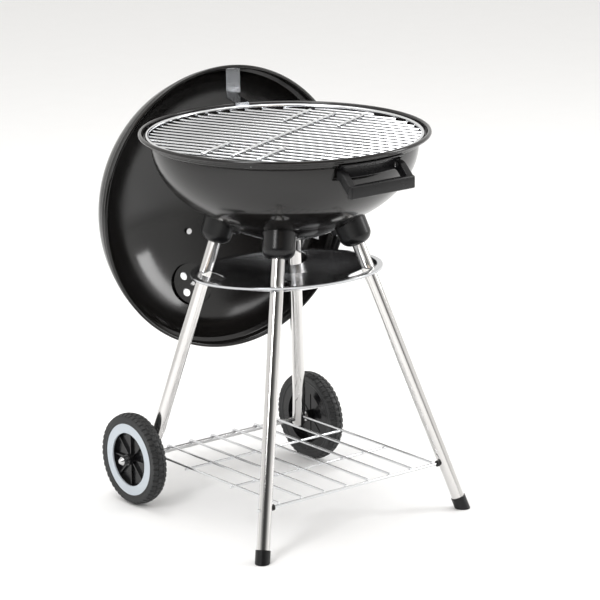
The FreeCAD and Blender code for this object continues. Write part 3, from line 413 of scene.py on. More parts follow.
def dust_group():
    """Mask of dust: more where the surface looks up, broken by a noise."""
    group, nodes, links, source, sink = new_group(
        "Dust", [("Amount", "NodeSocketFloat", 0.2)], [("Mask", "NodeSocketFloat")])
    shape = nodes.new("ShaderNodeNewGeometry")
    split = nodes.new("ShaderNodeSeparateXYZ")
    links.new(shape.outputs["Normal"], split.inputs["Vector"])
    up = nodes.new("ShaderNodeMapRange")
    up.inputs["From Min"].default_value = 0.1
    up.inputs["From Max"].default_value = 1.0
    links.new(split.outputs["Z"], up.inputs["Value"])
    place = nodes.new("ShaderNodeTexCoord")
    noise = nodes.new("ShaderNodeTexNoise")
    noise.inputs["Scale"].default_value = 60.0
    noise.inputs["Detail"].default_value = 8.0
    links.new(place.outputs["Object"], noise.inputs["Vector"])
    product = nodes.new("ShaderNodeMath")
    product.operation = "MULTIPLY"
    links.new(up.outputs["Result"], product.inputs[0])
    links.new(noise.outputs["Fac"], product.inputs[1])
    scaled = nodes.new("ShaderNodeMath")
    scaled.operation = "MULTIPLY"
    links.new(product.outputs["Value"], scaled.inputs[0])
    links.new(source.outputs["Amount"], scaled.inputs[1])
    links.new(scaled.outputs["Value"], sink.inputs["Mask"])
    return group


SMUDGES, SKIN, DUST = smudge_group(), skin_group(), dust_group()


# %% [markdown]
# Every finish is built by one function: a base colour that varies slowly between two tones, a
# roughness from the smudge group, a skin normal, and a little dust mixed in. Metal and coat are
# constants of the shader itself.

# %% Finish builder
def add_effect(nodes, group, **values):
    node = nodes.new("ShaderNodeGroup")
    node.node_tree = group
    for label, value in values.items():
        node.inputs[label].default_value = value
    return node


def finish(name, tone_a, tone_b, metal=0.0, rough=(0.1, 0.2), coat=0.0, coat_rough=0.05,
           skin=(400.0, 0.00005), dust=0.1, smudge_scale=9.0, ior=1.5, specular=0.5, aniso=0.0):
    """Procedural finish: tone_a to tone_b over a slow noise, smudged roughness, skin and dust."""
    material = bpy.data.materials.new(name)
    material.use_nodes = True
    nodes, links = material.node_tree.nodes, material.node_tree.links
    shader = nodes["Principled BSDF"]
    place = nodes.new("ShaderNodeTexCoord")
    noise = nodes.new("ShaderNodeTexNoise")
    noise.inputs["Scale"].default_value = smudge_scale * 1.7
    noise.inputs["Detail"].default_value = 5.0
    links.new(place.outputs["Object"], noise.inputs["Vector"])
    tones = nodes.new("ShaderNodeMix")
    tones.data_type = "RGBA"
    tones.inputs["A"].default_value = (*tone_a, 1.0)
    tones.inputs["B"].default_value = (*tone_b, 1.0)
    links.new(noise.outputs["Fac"], tones.inputs["Factor"])
    dusty = nodes.new("ShaderNodeMix")
    dusty.data_type = "RGBA"
    dusty.inputs["B"].default_value = (0.32, 0.3, 0.27, 1.0)
    mask = add_effect(nodes, DUST, Amount=dust)
    links.new(mask.outputs["Mask"], dusty.inputs["Factor"])
    links.new(tones.outputs["Result"], dusty.inputs["A"])
    links.new(dusty.outputs["Result"], shader.inputs["Base Color"])
    smudge = add_effect(nodes, SMUDGES, Scale=smudge_scale, Low=rough[0], High=rough[1])
    links.new(smudge.outputs["Roughness"], shader.inputs["Roughness"])
    surface = add_effect(nodes, SKIN, Scale=skin[0], Height=skin[1])
    links.new(surface.outputs["Normal"], shader.inputs["Normal"])
    shader.inputs["Metallic"].default_value = metal
    shader.inputs["IOR"].default_value = ior
    shader.inputs["Specular IOR Level"].default_value = specular
    shader.inputs["Coat Weight"].default_value = coat
    shader.inputs["Coat Roughness"].default_value = coat_rough
    shader.inputs["Anisotropic"].default_value = aniso
    return material


enamel = finish("black enamel", (0.004, 0.004, 0.0045), (0.009, 0.008, 0.007), rough=(0.10, 0.21),
                skin=(220.0, 0.00002), dust=0.012, smudge_scale=6.0)
plastic = finish("black plastic", (0.005, 0.005, 0.0055), (0.009, 0.009, 0.010), rough=(0.24, 0.36),
                 skin=(900.0, 0.00003), dust=0.015, specular=0.35)
chrome = finish("chrome wire", (0.80, 0.81, 0.82), (0.72, 0.73, 0.75), metal=1.0, rough=(0.08, 0.2),
                skin=(300.0, 0.000008), dust=0.02)
grey_wire = finish("plated wire", (0.50, 0.50, 0.51), (0.38, 0.38, 0.39), metal=1.0, rough=(0.25, 0.42),
                   skin=(500.0, 0.00002), dust=0.1)
tube_steel = finish("polished tube", (0.76, 0.75, 0.74), (0.66, 0.65, 0.64), metal=1.0,
                    rough=(0.07, 0.16), skin=(260.0, 0.000006), dust=0.02)
bright = finish("bright sheet", (0.62, 0.63, 0.65), (0.52, 0.53, 0.55), metal=1.0, rough=(0.12, 0.24),
                skin=(240.0, 0.00001), dust=0.03)
zinc = finish("zinc plating", (0.62, 0.62, 0.62), (0.5, 0.5, 0.51), metal=1.0, rough=(0.2, 0.34),
              skin=(700.0, 0.00002), dust=0.05)
rubber = finish("tyre rubber", (0.014, 0.015, 0.016), (0.024, 0.025, 0.026), rough=(0.42, 0.6),
                skin=(1100.0, 0.00006), dust=0.06, specular=0.4)
hub_black = finish("hub plastic", (0.004, 0.004, 0.005), (0.008, 0.008, 0.009), rough=(0.2, 0.32),
                   skin=(800.0, 0.00003), dust=0.02, specular=0.4)
pale = finish("pale plastic", (0.56, 0.61, 0.66), (0.50, 0.55, 0.60), rough=(0.3, 0.42),
              skin=(700.0, 0.00002), dust=0.1)

# %% [markdown]
# ## The bowl
#
# A bowl is pressed from one disc of sheet, so its section has the same thickness everywhere: a flat
# floor for the vents, a rounded bottom, a crease, and a wall that is part of an ellipse. Above it a
# flare and a short level ledge carry the cooking grate, and the edge is rolled into a bead.

# %% Bowl section
SHEET = 1.2
wall_radius, wall_top = lip_radius - 20.0, rim_z - 19.0
wall_drop, crease_radius, floor_radius = 138.0, 118.0, 42.0
crease_angle = math.acos(crease_radius / wall_radius)
bead = 3.4
bead_r, bead_z = lip_radius - bead, rim_z - bead
lip_wall = bead_r - bead + 0.4
seat_radius, ledge_z = lip_wall - 7.0, rim_z - 9.0


def dome_arc(r1, z1, r2, z2, steps=30):
    """Points from (r1, z1) to (r2, z2) on the sphere that is centred on the axis."""
    centre = (r2 * r2 + z2 * z2 - r1 * r1 - z1 * z1) / (2 * (z2 - z1))
    a1, a2 = math.atan2(z1 - centre, r1), math.atan2(z2 - centre, r2)
    return arc((0, centre), math.hypot(r1, z1 - centre), math.degrees(a1), math.degrees(a2), steps)


def bowl_wall(inset):
    half_w, half_h, low = wall_radius - inset, wall_drop - inset, bottom_z + inset
    crease = (half_w * math.cos(crease_angle), wall_top - half_h * math.sin(crease_angle))
    cap = dome_arc(floor_radius, low, *crease)
    t = np.linspace(-crease_angle, 0, 60)
    wall = np.stack([half_w * np.cos(t), wall_top + half_h * np.sin(t)], axis=1)
    return np.vstack([cap[:-1], wall])


outer = bowl_wall(0.0)
inner = bowl_wall(SHEET)
roll = arc((bead_r, bead_z), bead, 205, -135, 26)
rim_out = [outer[-1], (seat_radius + SHEET, wall_top + 5), (seat_radius + SHEET, ledge_z - SHEET),
           (lip_wall - 0.2, ledge_z - SHEET), roll[-1]]
rim_in = [(lip_wall - SHEET, bead_z + 1.4), (lip_wall - SHEET, ledge_z), (seat_radius, ledge_z),
          (seat_radius, wall_top + 5), inner[-1]]
section = np.vstack([outer[:-1], rounded(rim_out, 1.6)[:-1], roll[::-1], rounded(rim_in, 1.2),
                     inner[::-1][1:]])


def flat_at(height):
    return lambda x, y: np.full_like(x, height)


floor_patches = [holed_sector(sector_loop(5.0, floor_radius, 90 * k, 90 * k + 90),
                              22.0 * np.array([math.cos(math.radians(90 * k + 45)),
                                               math.sin(math.radians(90 * k + 45))]),
                              8.0, flat_at(bottom_z + SHEET), SHEET) for k in range(4)]
make_piece("bowl_shell", [revolve(section, 320), *floor_patches], "frame", enamel,
           ["bowl"], sharp=40)


# %% [markdown]
# ## Moulded handles
#
# A handle is one moulding: a curved back plate that fits the wall under the lip, two short arms that
# slope down, and a square grip bar. The plate hides the bolts' holes in the wall, and the gap behind
# the grip has to take gloved fingers.

# %% Bowl handles
def local_frame(facing):
    """Columns: sideways, outwards, up."""
    out = np.array([math.cos(math.radians(facing)), math.sin(math.radians(facing)), 0.0])
    up = np.array([0.0, 0.0, 1.0])
    return np.stack([np.cross(out, up), out, up], axis=1)


def sweep(path, sides_axis, across, thick, corner, steps=5):
    """Rounded rectangle carried along a path; its width runs along sides_axis."""
    path = np.asarray(path, float)
    tangent = np.gradient(path, axis=0)
    tangent /= np.linalg.norm(tangent, axis=1)[:, None]
    side = np.asarray(sides_axis, float)
    other = np.cross(tangent, side)
    box = np.array([(-1, -1), (1, -1), (1, 1), (-1, 1)]) * [across / 2, thick / 2]
    loop = rounded(box, corner, steps, closed=True)
    points = path[:, None] + loop[None, :, 0, None] * side + loop[None, :, 1, None] * other[:, None]
    return grid(points, close_start=True, close_end=True)


grip_lo, grip_hi = node_box("bowl_handle_front")
grip_half = (grip_hi[0] - grip_lo[0]) / 2
grip_reach = -(grip_lo[1] - axis_point[1])
grip_low_z = grip_lo[2]
plate_low, plate_high = rim_z - 35.4, ledge_z - 2.5
print("grip half width", grip_half.round(1), "reach", grip_reach.round(1))


def plate_surface():
    """The back plate: its section revolved through 32 degrees, drawn in at both ends."""
    face = [(wall_radius - 0.3, plate_low), (wall_radius + 3.6, plate_low), (wall_radius + 5.8, wall_top),
            (lip_wall + 0.8, plate_high - 1.9), (lip_wall + 0.8, plate_high),
            (seat_radius + SHEET + 0.4, plate_high), (seat_radius + SHEET + 0.4, wall_top + 5),
            (wall_radius + 0.4, wall_top)]
    loop = rounded(face, 1.2, 4, closed=True)
    middle = loop.mean(axis=0)
    edge = np.linspace(0, np.pi / 2, 6)
    inset = 1.4 * (1 - np.sin(edge))
    half = 15.9
    angles = np.concatenate([-half + np.degrees(1.4 * (1 - np.cos(edge)) / wall_radius),
                             np.linspace(-half + 0.5, half - 0.5, 40),
                             half - np.degrees(1.4 * (1 - np.cos(edge[::-1])) / wall_radius)])
    shrink = np.concatenate([inset, np.zeros(40), inset[::-1]])
    rows = []
    for a, s in zip(np.radians(angles), shrink):
        ring = loop + (middle - loop) / np.linalg.norm(middle - loop, axis=1)[:, None] * s
        rows.append(np.stack([ring[:, 0] * math.sin(a), ring[:, 0] * math.cos(a), ring[:, 1]], axis=1))
    return grid(np.array(rows), close_start=True, close_end=True)


def bowl_handle(name, facing):
    turn = local_frame(facing)
    grip_mid = np.array([0.0, grip_reach - 6.0, grip_low_z + 10.0])
    parts = [plate_surface(), soft_box(grip_mid, (2 * grip_half, 12.0, 20.0), 2.6)]
    for side in (-1, 1):
        x = side * (grip_half - 6.2)
        path = rounded([(x, wall_radius - 5, wall_top - 9.5), (x, wall_radius + 3, wall_top - 10.5),
                        (x, grip_reach - 7, grip_low_z + 11.5)], 5.0)
        parts.append(sweep(resample(path, 3.0), (1, 0, 0), 12.0, 15.5, 2.4))
    parts = [moved(p, turn) for p in parts]
    return make_piece(name, parts, "frame", plastic, [name_to_node[name]], sharp=38)


name_to_node = {"front_handle": "bowl_handle_front", "rear_handle": "bowl_handle_rear"}
bowl_handle("front_handle", -90)
bowl_handle("rear_handle", 90)

# %% [markdown]
# The handle bolts are ordinary hex bolts with their nuts inside the bowl. Corners turned off at the
# top are what make a hexagon read as a fastener.

# %% Handle fasteners
def fastener(seat, way, corner, height, shank=0.0, reach=0.0):
    """Hex head on its seat with its top towards `way`, and a shank behind it."""
    turn = turn_matrix(way)
    head = moved(hexagonal(corner, height, 0.25 * height), turn, seat)
    if not shank:
        return [head]
    back = np.asarray(way, float) / np.linalg.norm(way)
    return [head, tube([seat + back * 0.2, seat - back * reach], shank, 24)]


def out_at(angle, radius, z):
    t = math.radians(angle)
    return np.array([radius * math.cos(t), radius * math.sin(t), z])


bolt_spread = math.degrees(math.asin(50.0 / wall_radius))
bolt_z = rim_z - 27.5
bolt_angles = [facing + side * bolt_spread for facing in (-90, 90) for side in (-1, 1)]
heads, nuts = [], []
for angle in bolt_angles:
    way = out_at(angle, 1.0, 0.0)
    heads += fastener(out_at(angle, wall_radius + 3.3, bolt_z), way, 4.75, 3.1, 2.45, 11.3)
    nuts += fastener(out_at(angle, wall_radius - SHEET - 0.8, bolt_z), -way, 4.55, 3.9)
make_piece("handle_bolt_heads", heads, "frame", zinc, ["handle_bolts"])
make_piece("handle_bolt_nuts", nuts, "frame", zinc, ["handle_nuts"])

# %% [markdown]
# ## Wire grates
#
# A grate is straight wire, cut and resistance-welded: parallel bars, a ring, and a few braces across
# them. The wires sink a little into each other at every weld, which leaves a small nugget.

# %% Cooking grate
ring_wire, bar_wire, sink = 3.0, 2.5, 0.5
ring_r = lip_wall - SHEET - 2.9 - ring_wire
ring_z = ledge_z + ring_wire + 0.05
bar_z = ring_z - ring_wire - bar_wire + sink
brace_z = bar_z + 2 * bar_wire - sink


def straight_bars(radius, pitch, wire, z):
    count = int((radius - 2 * wire) / pitch)
    bars = []
    for k in range(-count, count + 1):
        half = math.sqrt(radius ** 2 - (k * pitch) ** 2)
        bars.append(tube([(k * pitch, -half, z), (k * pitch, half, z)], wire, 16))
    return bars, np.arange(-count, count + 1) * pitch


def nuggets(spots, radius):
    """Small flattened balls of metal squeezed out of the welds."""
    t = np.radians(np.linspace(-80, 80, 7))
    section = np.stack([radius * np.cos(t), 0.75 * radius * np.sin(t)], axis=1)
    ball = revolve(section, 14)
    ball = grid(ball[0].reshape(7, 14, 3), close_start=True, close_end=True)
    return [moved(ball, None, spot) for spot in spots]


bars, across = straight_bars(seat_radius - 0.8, 19.0, bar_wire, bar_z)
braces = [(-174.0, 174.0, 0.0)]
for side in (-1, 1):
    for y in (-48.0, 48.0):
        centre = side * 135.0
        braces.append((centre - 46.0, centre + 46.0, y))
grate = [torus(ring_r, ring_z, ring_wire), *bars]
welds = []
for start, end, y in braces:
    grate.append(tube([(start, y, brace_z), (end, y, brace_z)], bar_wire, 16))
    for x in across:
        if start + 3 < x < end - 3:
            welds += [(x - 1.5, y, bar_z + bar_wire - 0.4), (x + 1.5, y, bar_z + bar_wire - 0.4)]
grate += nuggets(welds, 1.7)
spin_24 = np.array(Matrix.Rotation(math.radians(24.0), 3, "Z"))
make_piece("cooking_grate_wires", [moved(g, spin_24) for g in grate], "cooking_grate", chrome,
           ["cooking_grate"], sharp=60)

# %% [markdown]
# The charcoal grate is the same thing made smaller and coarser. It rests in the taper of the bowl, so
# its height comes from its own box.

# %% Charcoal grate
coal_lo, coal_hi = node_box("charcoal_grate")
coal_r = (coal_hi[0] - coal_lo[0]) / 2 - ring_wire
coal_z = coal_lo[2] + ring_wire
bars, across = straight_bars(coal_r, 20.0, bar_wire, coal_z + ring_wire + bar_wire - sink)
coal = [torus(coal_r, coal_z, ring_wire, 192), *bars]
low_z = coal_z + ring_wire - bar_wire
half = math.sqrt(coal_r ** 2 - (coal_r / 2) ** 2)
for y in (-coal_r / 2, coal_r / 2):
    coal.append(tube([(-half, y, low_z), (half, y, low_z)], bar_wire, 16))
make_piece("charcoal_grate_wires", coal, "charcoal_grate", grey_wire,
           ["charcoal_grate"], sharp=60)

# %% [markdown]
# ## Legs
#
# A leg is drawn steel tube, polished after bending. The front pair are straight; the rear pair are
# straight from the socket and then bend down to the axle. A bent tube is a circle carried along two
# straight runs and the arc between them, and its wall shows at the open end.

# %% Leg lines
LEG_RADIUS, LEG_WALL = 10.5, 1.2
SOCKET_X, SOCKET_Y, SOCKET_DEPTH = 80.0, 81.6, 23.85
mouth_z = bottom_z - 11.0
bend_at = np.array([144.5, 154.0, 122.0])
axle_at = np.array([157.5, wheel_right[1], wheel_right[2]])


def unit(v):
    return np.asarray(v, float) / np.linalg.norm(v)


def filleted(start, corner, end, radius, steps=24):
    """Two straight runs joined by the circle arc of this radius that touches both."""
    into, out = unit(corner - start), unit(end - corner)
    turn = math.acos(np.clip(into @ out, -1, 1))
    back = radius * math.tan(turn / 2)
    side = unit(out - into * (into @ out))
    first = corner - into * back
    a = np.linspace(0, turn, steps)[:, None]
    bend = first + radius * (np.sin(a) * into + (1 - np.cos(a)) * side)
    return np.vstack([start, bend, end])


def mirrored(x, point):
    return np.array(point) * [x, 1, 1]


for side, label in ((-1, "left"), (1, "right")):
    mouth = np.array([side * SOCKET_X, -SOCKET_Y, mouth_z])
    low = mirrored(side, foot_right)
    up = unit(mouth - low)
    path = np.linspace(low + up * 9.0, mouth + up * SOCKET_DEPTH, 12)
    make_piece("front_tube_" + label, pipe(path, LEG_RADIUS, LEG_WALL), "frame", tube_steel,
               ["leg_front_" + label])
    mouth = np.array([side * SOCKET_X, SOCKET_Y, mouth_z])
    corner, hub = mirrored(side, bend_at), mirrored(side, axle_at)
    path = filleted(mouth + unit(mouth - corner) * SOCKET_DEPTH, corner,
                    hub + unit(hub - corner) * 9.0, 90.0)
    make_piece("rear_tube_" + label, pipe(resample(path, 30.0), LEG_RADIUS, LEG_WALL), "frame",
               tube_steel, ["leg_rear_" + label])

# %% [markdown]
# ## Ash catcher
#
# The dish is pressed from one sheet and has four round holes, through which it hangs on the splayed
# legs. Its surface is a polar grid whose height depends on the radius only. Where a hole lies, a
# block of the grid is left out and filled with rays that run from the block's edge to the hole's, so
# that every edge still meets its neighbour. Solidify then gives it the sheet's thickness.

# %% Pressed sheet with holes
def polar_surface(radii, height, holes=(), columns=360):
    """z = height(r) over rings of the given radii.

    A hole is (first column, last column, first ring, last ring, edge points as angle and radius)."""
    u = np.arange(columns) * 2 * np.pi / columns
    ring = np.asarray(radii, float)
    points = np.stack([ring[:, None] * np.cos(u), ring[:, None] * np.sin(u),
                       height(ring)[:, None] + 0 * u], axis=-1)
    verts, quads, tris = grid(points)
    row, col = np.divmod(np.arange(len(quads)), columns)
    keep = np.ones(len(quads), bool)
    parts = []
    for c0, c1, r0, r1, edge in holes:
        keep &= ~(((col - c0) % columns < (c1 - c0)) & (row >= r0) & (row < r1))
        a = (np.arange(c0, c1 + 1)) * 2 * np.pi / columns
        loop = np.vstack([np.stack([a, np.full(len(a), ring[r0])], 1),
                          np.stack([np.full(r1 - r0 - 1, a[-1]), ring[r0 + 1:r1]], 1),
                          np.stack([a[::-1], np.full(len(a), ring[r1])], 1),
                          np.stack([np.full(r1 - r0 - 1, a[0]), ring[r0 + 1:r1][::-1]], 1)])
        parts.append(rays_to_hole(loop, edge, height))
    return join([(verts, quads[keep], tris), *parts])


def rays_to_hole(loop, edge, height, rows=8):
    """Rows of points between a closed loop and the hole's edge, both as (angle, radius)."""
    middle = edge.mean(axis=0)
    scale = np.array([middle[1], 1.0])
    way = (loop - middle) * scale
    wanted = np.arctan2(way[:, 1], way[:, 0])
    own = np.arctan2(*((edge - middle) * scale).T[::-1])
    order = np.argsort(own)
    own, edge = own[order], edge[order]
    inner = np.stack([np.interp(wanted, own, edge[:, k], period=2 * np.pi) for k in (0, 1)], axis=1)
    t = np.linspace(0, 1, rows)[:, None, None]
    flat = loop * (1 - t) + inner * t
    points = np.stack([flat[..., 1] * np.cos(flat[..., 0]), flat[..., 1] * np.sin(flat[..., 0]),
                       height(flat[..., 1])], axis=-1)
    return grid(points)


def solid_sheet(piece, thickness, offset=-1.0):
    wall = piece.modifiers.new("sheet", "SOLIDIFY")
    wall.thickness = thickness * MM
    wall.offset = offset
    wall.use_even_offset = True


# %% Ash catcher
DISH_R, DISH_DEPTH, DISH_FLAT, BRIM = 153.0, 23.0, 70.0, 145.0
DISH_Z = bottom_z - 54.0
LEG_HOLE = 21.0
tilt_dish = np.array(Matrix.Rotation(math.radians(-4.0), 3, "X"))
sphere = (BRIM ** 2 - DISH_FLAT ** 2 - DISH_DEPTH ** 2) / (2 * DISH_DEPTH)
ball = math.hypot(BRIM, sphere)


def dish_height(r):
    """Flat floor, then a sphere through the floor's edge and the brim, then the level brim."""
    r = np.asarray(r, float)
    wall = sphere - np.sqrt(np.maximum(ball ** 2 - r ** 2, 0))
    return np.clip(np.where(r < DISH_FLAT, -DISH_DEPTH, wall), -DISH_DEPTH, 0.0)


dish_radii = np.concatenate([[0.02], np.linspace(8, 64, 8), np.linspace(66, 96, 16),
                             np.linspace(98, 145, 24), [146.0, 147.5, 149.5, 151.0]])
holes = []
for x, y, corner in ((-1, -1, foot_right), (1, -1, foot_right), (-1, 1, bend_at), (1, 1, bend_at)):
    mouth = np.array([x * SOCKET_X, y * SOCKET_Y, mouth_z])
    low = np.array([x * corner[0], corner[1], corner[2]])
    up = unit(mouth - low) @ tilt_dish
    from_centre = (mouth - [0, 0, DISH_Z]) @ tilt_dish
    crossing = from_centre - up * from_centre[2] / up[2]
    edge_reach = LEG_RADIUS / up[2] + 1.2 * math.sqrt(1 - up[2] ** 2)
    centre = crossing + unit(crossing) * (edge_reach + 0.15 - LEG_HOLE)
    t = np.linspace(0, 2 * np.pi, 96, endpoint=False)
    px, py = centre[0] + LEG_HOLE * np.cos(t), centre[1] + LEG_HOLE * np.sin(t)
    angle = np.unwrap(np.arctan2(py, px))
    first = int(math.floor(math.degrees(angle.min()))) - 2
    last = int(math.ceil(math.degrees(angle.max()))) + 2
    inner_ring = int(np.searchsorted(dish_radii, np.hypot(px, py).min())) - 2
    outer_ring = int(np.searchsorted(dish_radii, np.hypot(px, py).max())) + 1
    holes.append((first, last, inner_ring, outer_ring, np.stack([angle, np.hypot(px, py)], 1)))
dish = polar_surface(dish_radii, dish_height, holes)
fold = rounded([(151.0, 0.0), (DISH_R, 0.0), (DISH_R, -4.0)], 1.4, 7)
dish = join([dish, revolve(fold, 360)])
dish_piece = make_piece("ash_dish", moved(dish, tilt_dish, (0, 0, DISH_Z)), "frame", bright,
                        ["ash_catcher"], sharp=30)
solid_sheet(dish_piece, 1.2)

# %% [markdown]
# ## Bottom rack
#
# Eight wires run back from the front wire, and two braces keep them apart. The six inner wires hook
# round the axle, and the outer two stop just short of the rear legs' tubes.
# The hook is an arc about the axle, so the rack can be hung on before the wheels go on.

# %% Rack
AXLE_Y, AXLE_Z, AXLE_R = wheel_right[1], wheel_right[2], 4.0
rack_z = AXLE_Z + AXLE_R + 0.3 + 2.0
front_z = rack_z - 2.0 - 2.5 + sink
share = front_z / mouth_z
front_x = foot_right[0] + (SOCKET_X - foot_right[0]) * share
front_y = foot_right[1] + (-SOCKET_Y - foot_right[1]) * share
rack, welds = [], []
for k in range(8):
    x = (k - 3.5) * 44.5
    if k in (0, 7):
        rack.append(tube([(x, front_y - 1.5, rack_z), (x, AXLE_Y - LEG_RADIUS - 6.0, rack_z)], 2.0))
    else:
        t = np.radians(90 - np.linspace(0, 150, 18))
        hook = np.stack([np.full(18, x), AXLE_Y + (rack_z - AXLE_Z) * np.cos(t),
                         AXLE_Z + (rack_z - AXLE_Z) * np.sin(t)], axis=1)
        rack.append(tube(np.vstack([[(x, front_y - 1.5, rack_z)], hook]), 2.0))
    for y in (-54.0, 64.0):
        welds += [(x - 1.2, y, rack_z - 1.8), (x + 1.2, y, rack_z - 1.8)]
    welds.append((x, front_y, front_z + 2.2))
rack.append(tube([(-front_x - 14.5, front_y, front_z), (front_x + 14.5, front_y, front_z)], 2.5, 20))
for y in (-54.0, 64.0):
    rack.append(tube([(-159.75, y, rack_z - 4.0 + sink), (159.75, y, rack_z - 4.0 + sink)], 2.0))
make_piece("rack_wires", rack + nuggets(welds, 1.5), "frame", chrome, ["bottom_rack"],
           sharp=60)

# %% [markdown]
# ## Tyres
#
# The tyres are hollow moulded plastic with a block tread. The tread is one function of the angle and
# the place across the width: three rows of blocks, the middle row shifted by half a pitch, with
# grooves whose sides slope as they must to leave a mould.

# %% Tyre
def smooth_step(x, low, high):
    t = np.clip((x - low) / (high - low), 0, 1)
    return t * t * (3 - 2 * t)


def tyre(side):
    half, crown, shoulder, inner = 12.7, 75.0, 71.5, 59.15
    blocks = 46
    u = np.arange(blocks * 10) * 2 * np.pi / (blocks * 10)
    w = np.concatenate([np.linspace(-half, -half + 1.2, 4), np.linspace(-half + 1.8, half - 1.8, 30),
                        np.linspace(half - 1.2, half, 4)])
    bulge = crown - (crown - shoulder) * (w / half) ** 2
    row = np.clip(np.floor((w + half) / (2 * half / 3)), 0, 2)
    across = np.abs(((w + half) / (2 * half / 3)) % 1 - 0.5) * 2
    phase = (u[None] / (2 * np.pi) * blocks + 0.5 * (row[:, None] == 1)) % 1
    along = np.abs(phase - 0.5) * 2
    groove = np.maximum(smooth_step(across, 0.74, 0.92)[:, None], smooth_step(along, 0.66, 0.86))
    edge = smooth_step(np.abs(w), half - 1.0, half)[:, None]
    tread = bulge[:, None] - 1.9 * groove * (1 - edge) - 1.9 * edge * smooth_step(along, 0.66, 0.86)
    wall = rounded([(69.0, half), (66.5, half), (63.0, half - 0.7), (62.0, half - 0.2),
                    (inner, half - 1.0)], 0.8, 4)
    rings = [np.stack([np.full(len(u), r), np.full(len(u), -z)], 1) for r, z in wall[::-1]]
    rings += [np.stack([tread[k], np.full(len(u), w[k])], 1) for k in range(len(w))]
    rings += [np.stack([np.full(len(u), r), np.full(len(u), z)], 1) for r, z in wall]
    rings = np.array(rings)
    points = np.stack([rings[..., 0] * np.cos(u), rings[..., 0] * np.sin(u), rings[..., 1]], axis=-1)
    wheel = wheel_left if side < 0 else wheel_right
    return moved(grid(points, wrap_v=True), turn_matrix((side, 0, 0)), wheel)


for side, label in ((-1, "left"), (1, "right")):
    make_piece("tread_" + label, tyre(side), label + "_wheel", rubber, ["tyre_" + label],
               sharp=32)

# %% [markdown]
# ## Lid
#
# The lid is the same pressing as the bowl turned over: a dome, a shoulder, a skirt that laps the
# bowl's lip and a rolled edge. The vent sits in a flat seat pressed into the dome. The lid hangs on
# edge behind the bowl, so its surface is worked out upright and then turned.

# %% Lid shape
LID_R, LID_BEAD, DOME_BASE, DOME_TOP = lip_radius + 6.0, 2.8, 26.0, 140.0
SKIRT_R = LID_R - 2 * LID_BEAD + 0.4 + SHEET
DOME_R = SKIRT_R - 7.0
VENT_R, VENT_ANGLE, SEAT_R, SEAT_DEPTH = 150.0, math.radians(96.0), 36.0, 6.0


def dome_z(r):
    """Ellipse: base + height times the square root of 1 - (r / radius) squared."""
    share = np.clip(np.asarray(r, float) / DOME_R, 0, 1)
    return DOME_BASE + (DOME_TOP - DOME_BASE) * np.sqrt(1 - share ** 2)


vent_local = np.array([VENT_R * math.cos(VENT_ANGLE), VENT_R * math.sin(VENT_ANGLE),
                       float(dome_z(VENT_R))])
vent_normal = unit([vent_local[0] / DOME_R ** 2, vent_local[1] / DOME_R ** 2,
                    (vent_local[2] - DOME_BASE) / (DOME_TOP - DOME_BASE) ** 2])
lid_turn = np.array(Matrix.Rotation(math.radians(-5.8), 3, "Z")
                    @ Matrix.Rotation(math.radians(-92.0), 3, "X"))
lid_place = vent_place - lid_turn @ (vent_local)
print("lid centre", lid_place.round(2), "vent way", (lid_turn @ vent_normal).round(4), vent_way.round(4))
vent_turn = turn_matrix(vent_normal)


def seat_edge(radius, count=120):
    """Points of the dome at one distance from the vent's axis, found by sliding along the axis."""
    t = np.linspace(0, 2 * np.pi, count, endpoint=False)
    way = np.cos(t)[:, None] * vent_turn[:, 0] + np.sin(t)[:, None] * vent_turn[:, 1]
    start = vent_local + radius * way
    slide = np.zeros(count)
    for _ in range(20):
        p = start + slide[:, None] * vent_normal
        slide -= 0.8 * (p[:, 2] - dome_z(np.hypot(p[:, 0], p[:, 1]))) / vent_normal[2]
    return start + slide[:, None] * vent_normal


edge = seat_edge(SEAT_R - 0.4)
edge_flat = np.stack([np.arctan2(edge[:, 1], edge[:, 0]), np.hypot(edge[:, 0], edge[:, 1])], axis=1)
dome_radii = DOME_R * np.sin(np.linspace(0.0004, np.pi / 2, 64))
c0, c1 = int(np.degrees(edge_flat[:, 0].min())) - 2, int(np.degrees(edge_flat[:, 0].max())) + 3
r0 = int(np.searchsorted(dome_radii, edge_flat[:, 1].min())) - 2
r1 = int(np.searchsorted(dome_radii, edge_flat[:, 1].max())) + 1
dome = polar_surface(dome_radii, dome_z, [(c0, c1, r0, r1, edge_flat)])
skirt = rounded([(DOME_R, DOME_BASE), (SKIRT_R, 20.0), (SKIRT_R, 3.0)], 3.0, 7)
seat_low = vent_local - vent_normal * SEAT_DEPTH
down = (edge - seat_low) @ vent_normal
steps = np.linspace(1, 0, 7)[:, None, None]
seat_wall = grid(edge[None] - (1 - steps) * down[None, :, None] * vent_normal)
lid_surface = join([dome, revolve(skirt, 360), seat_wall])
lid_shell = make_piece("lid_shell", moved(lid_surface, lid_turn, lid_place), "lid", enamel,
                       ["lid"], sharp=35)
solid_sheet(lid_shell, SHEET)


def vent_plate(radius, hole_circle, hole_radius, thick, steps=18):
    """A disc with four round holes and a small one in the middle, its upper face at zero."""
    parts = []
    for k in range(4):
        a = math.radians(90 * k + 45)
        outline = sector_loop(2.55, radius, 90 * k, 90 * k + 90, steps)
        hole = hole_circle * np.array([math.cos(a), math.sin(a)])
        parts.append(holed_sector(outline, hole, hole_radius, flat_at(0.0), thick, rows=5))
    return join(parts)


seat_floor = moved(vent_plate(SEAT_R - 0.4, 20.0, 7.0, SHEET), vent_turn, seat_low)
lip = torus(LID_R - LID_BEAD, LID_BEAD, LID_BEAD, 320)
make_piece("lid_lip_and_seat", moved(join([seat_floor, lip]), lid_turn, lid_place), "lid", enamel,
           ["lid"], sharp=35)

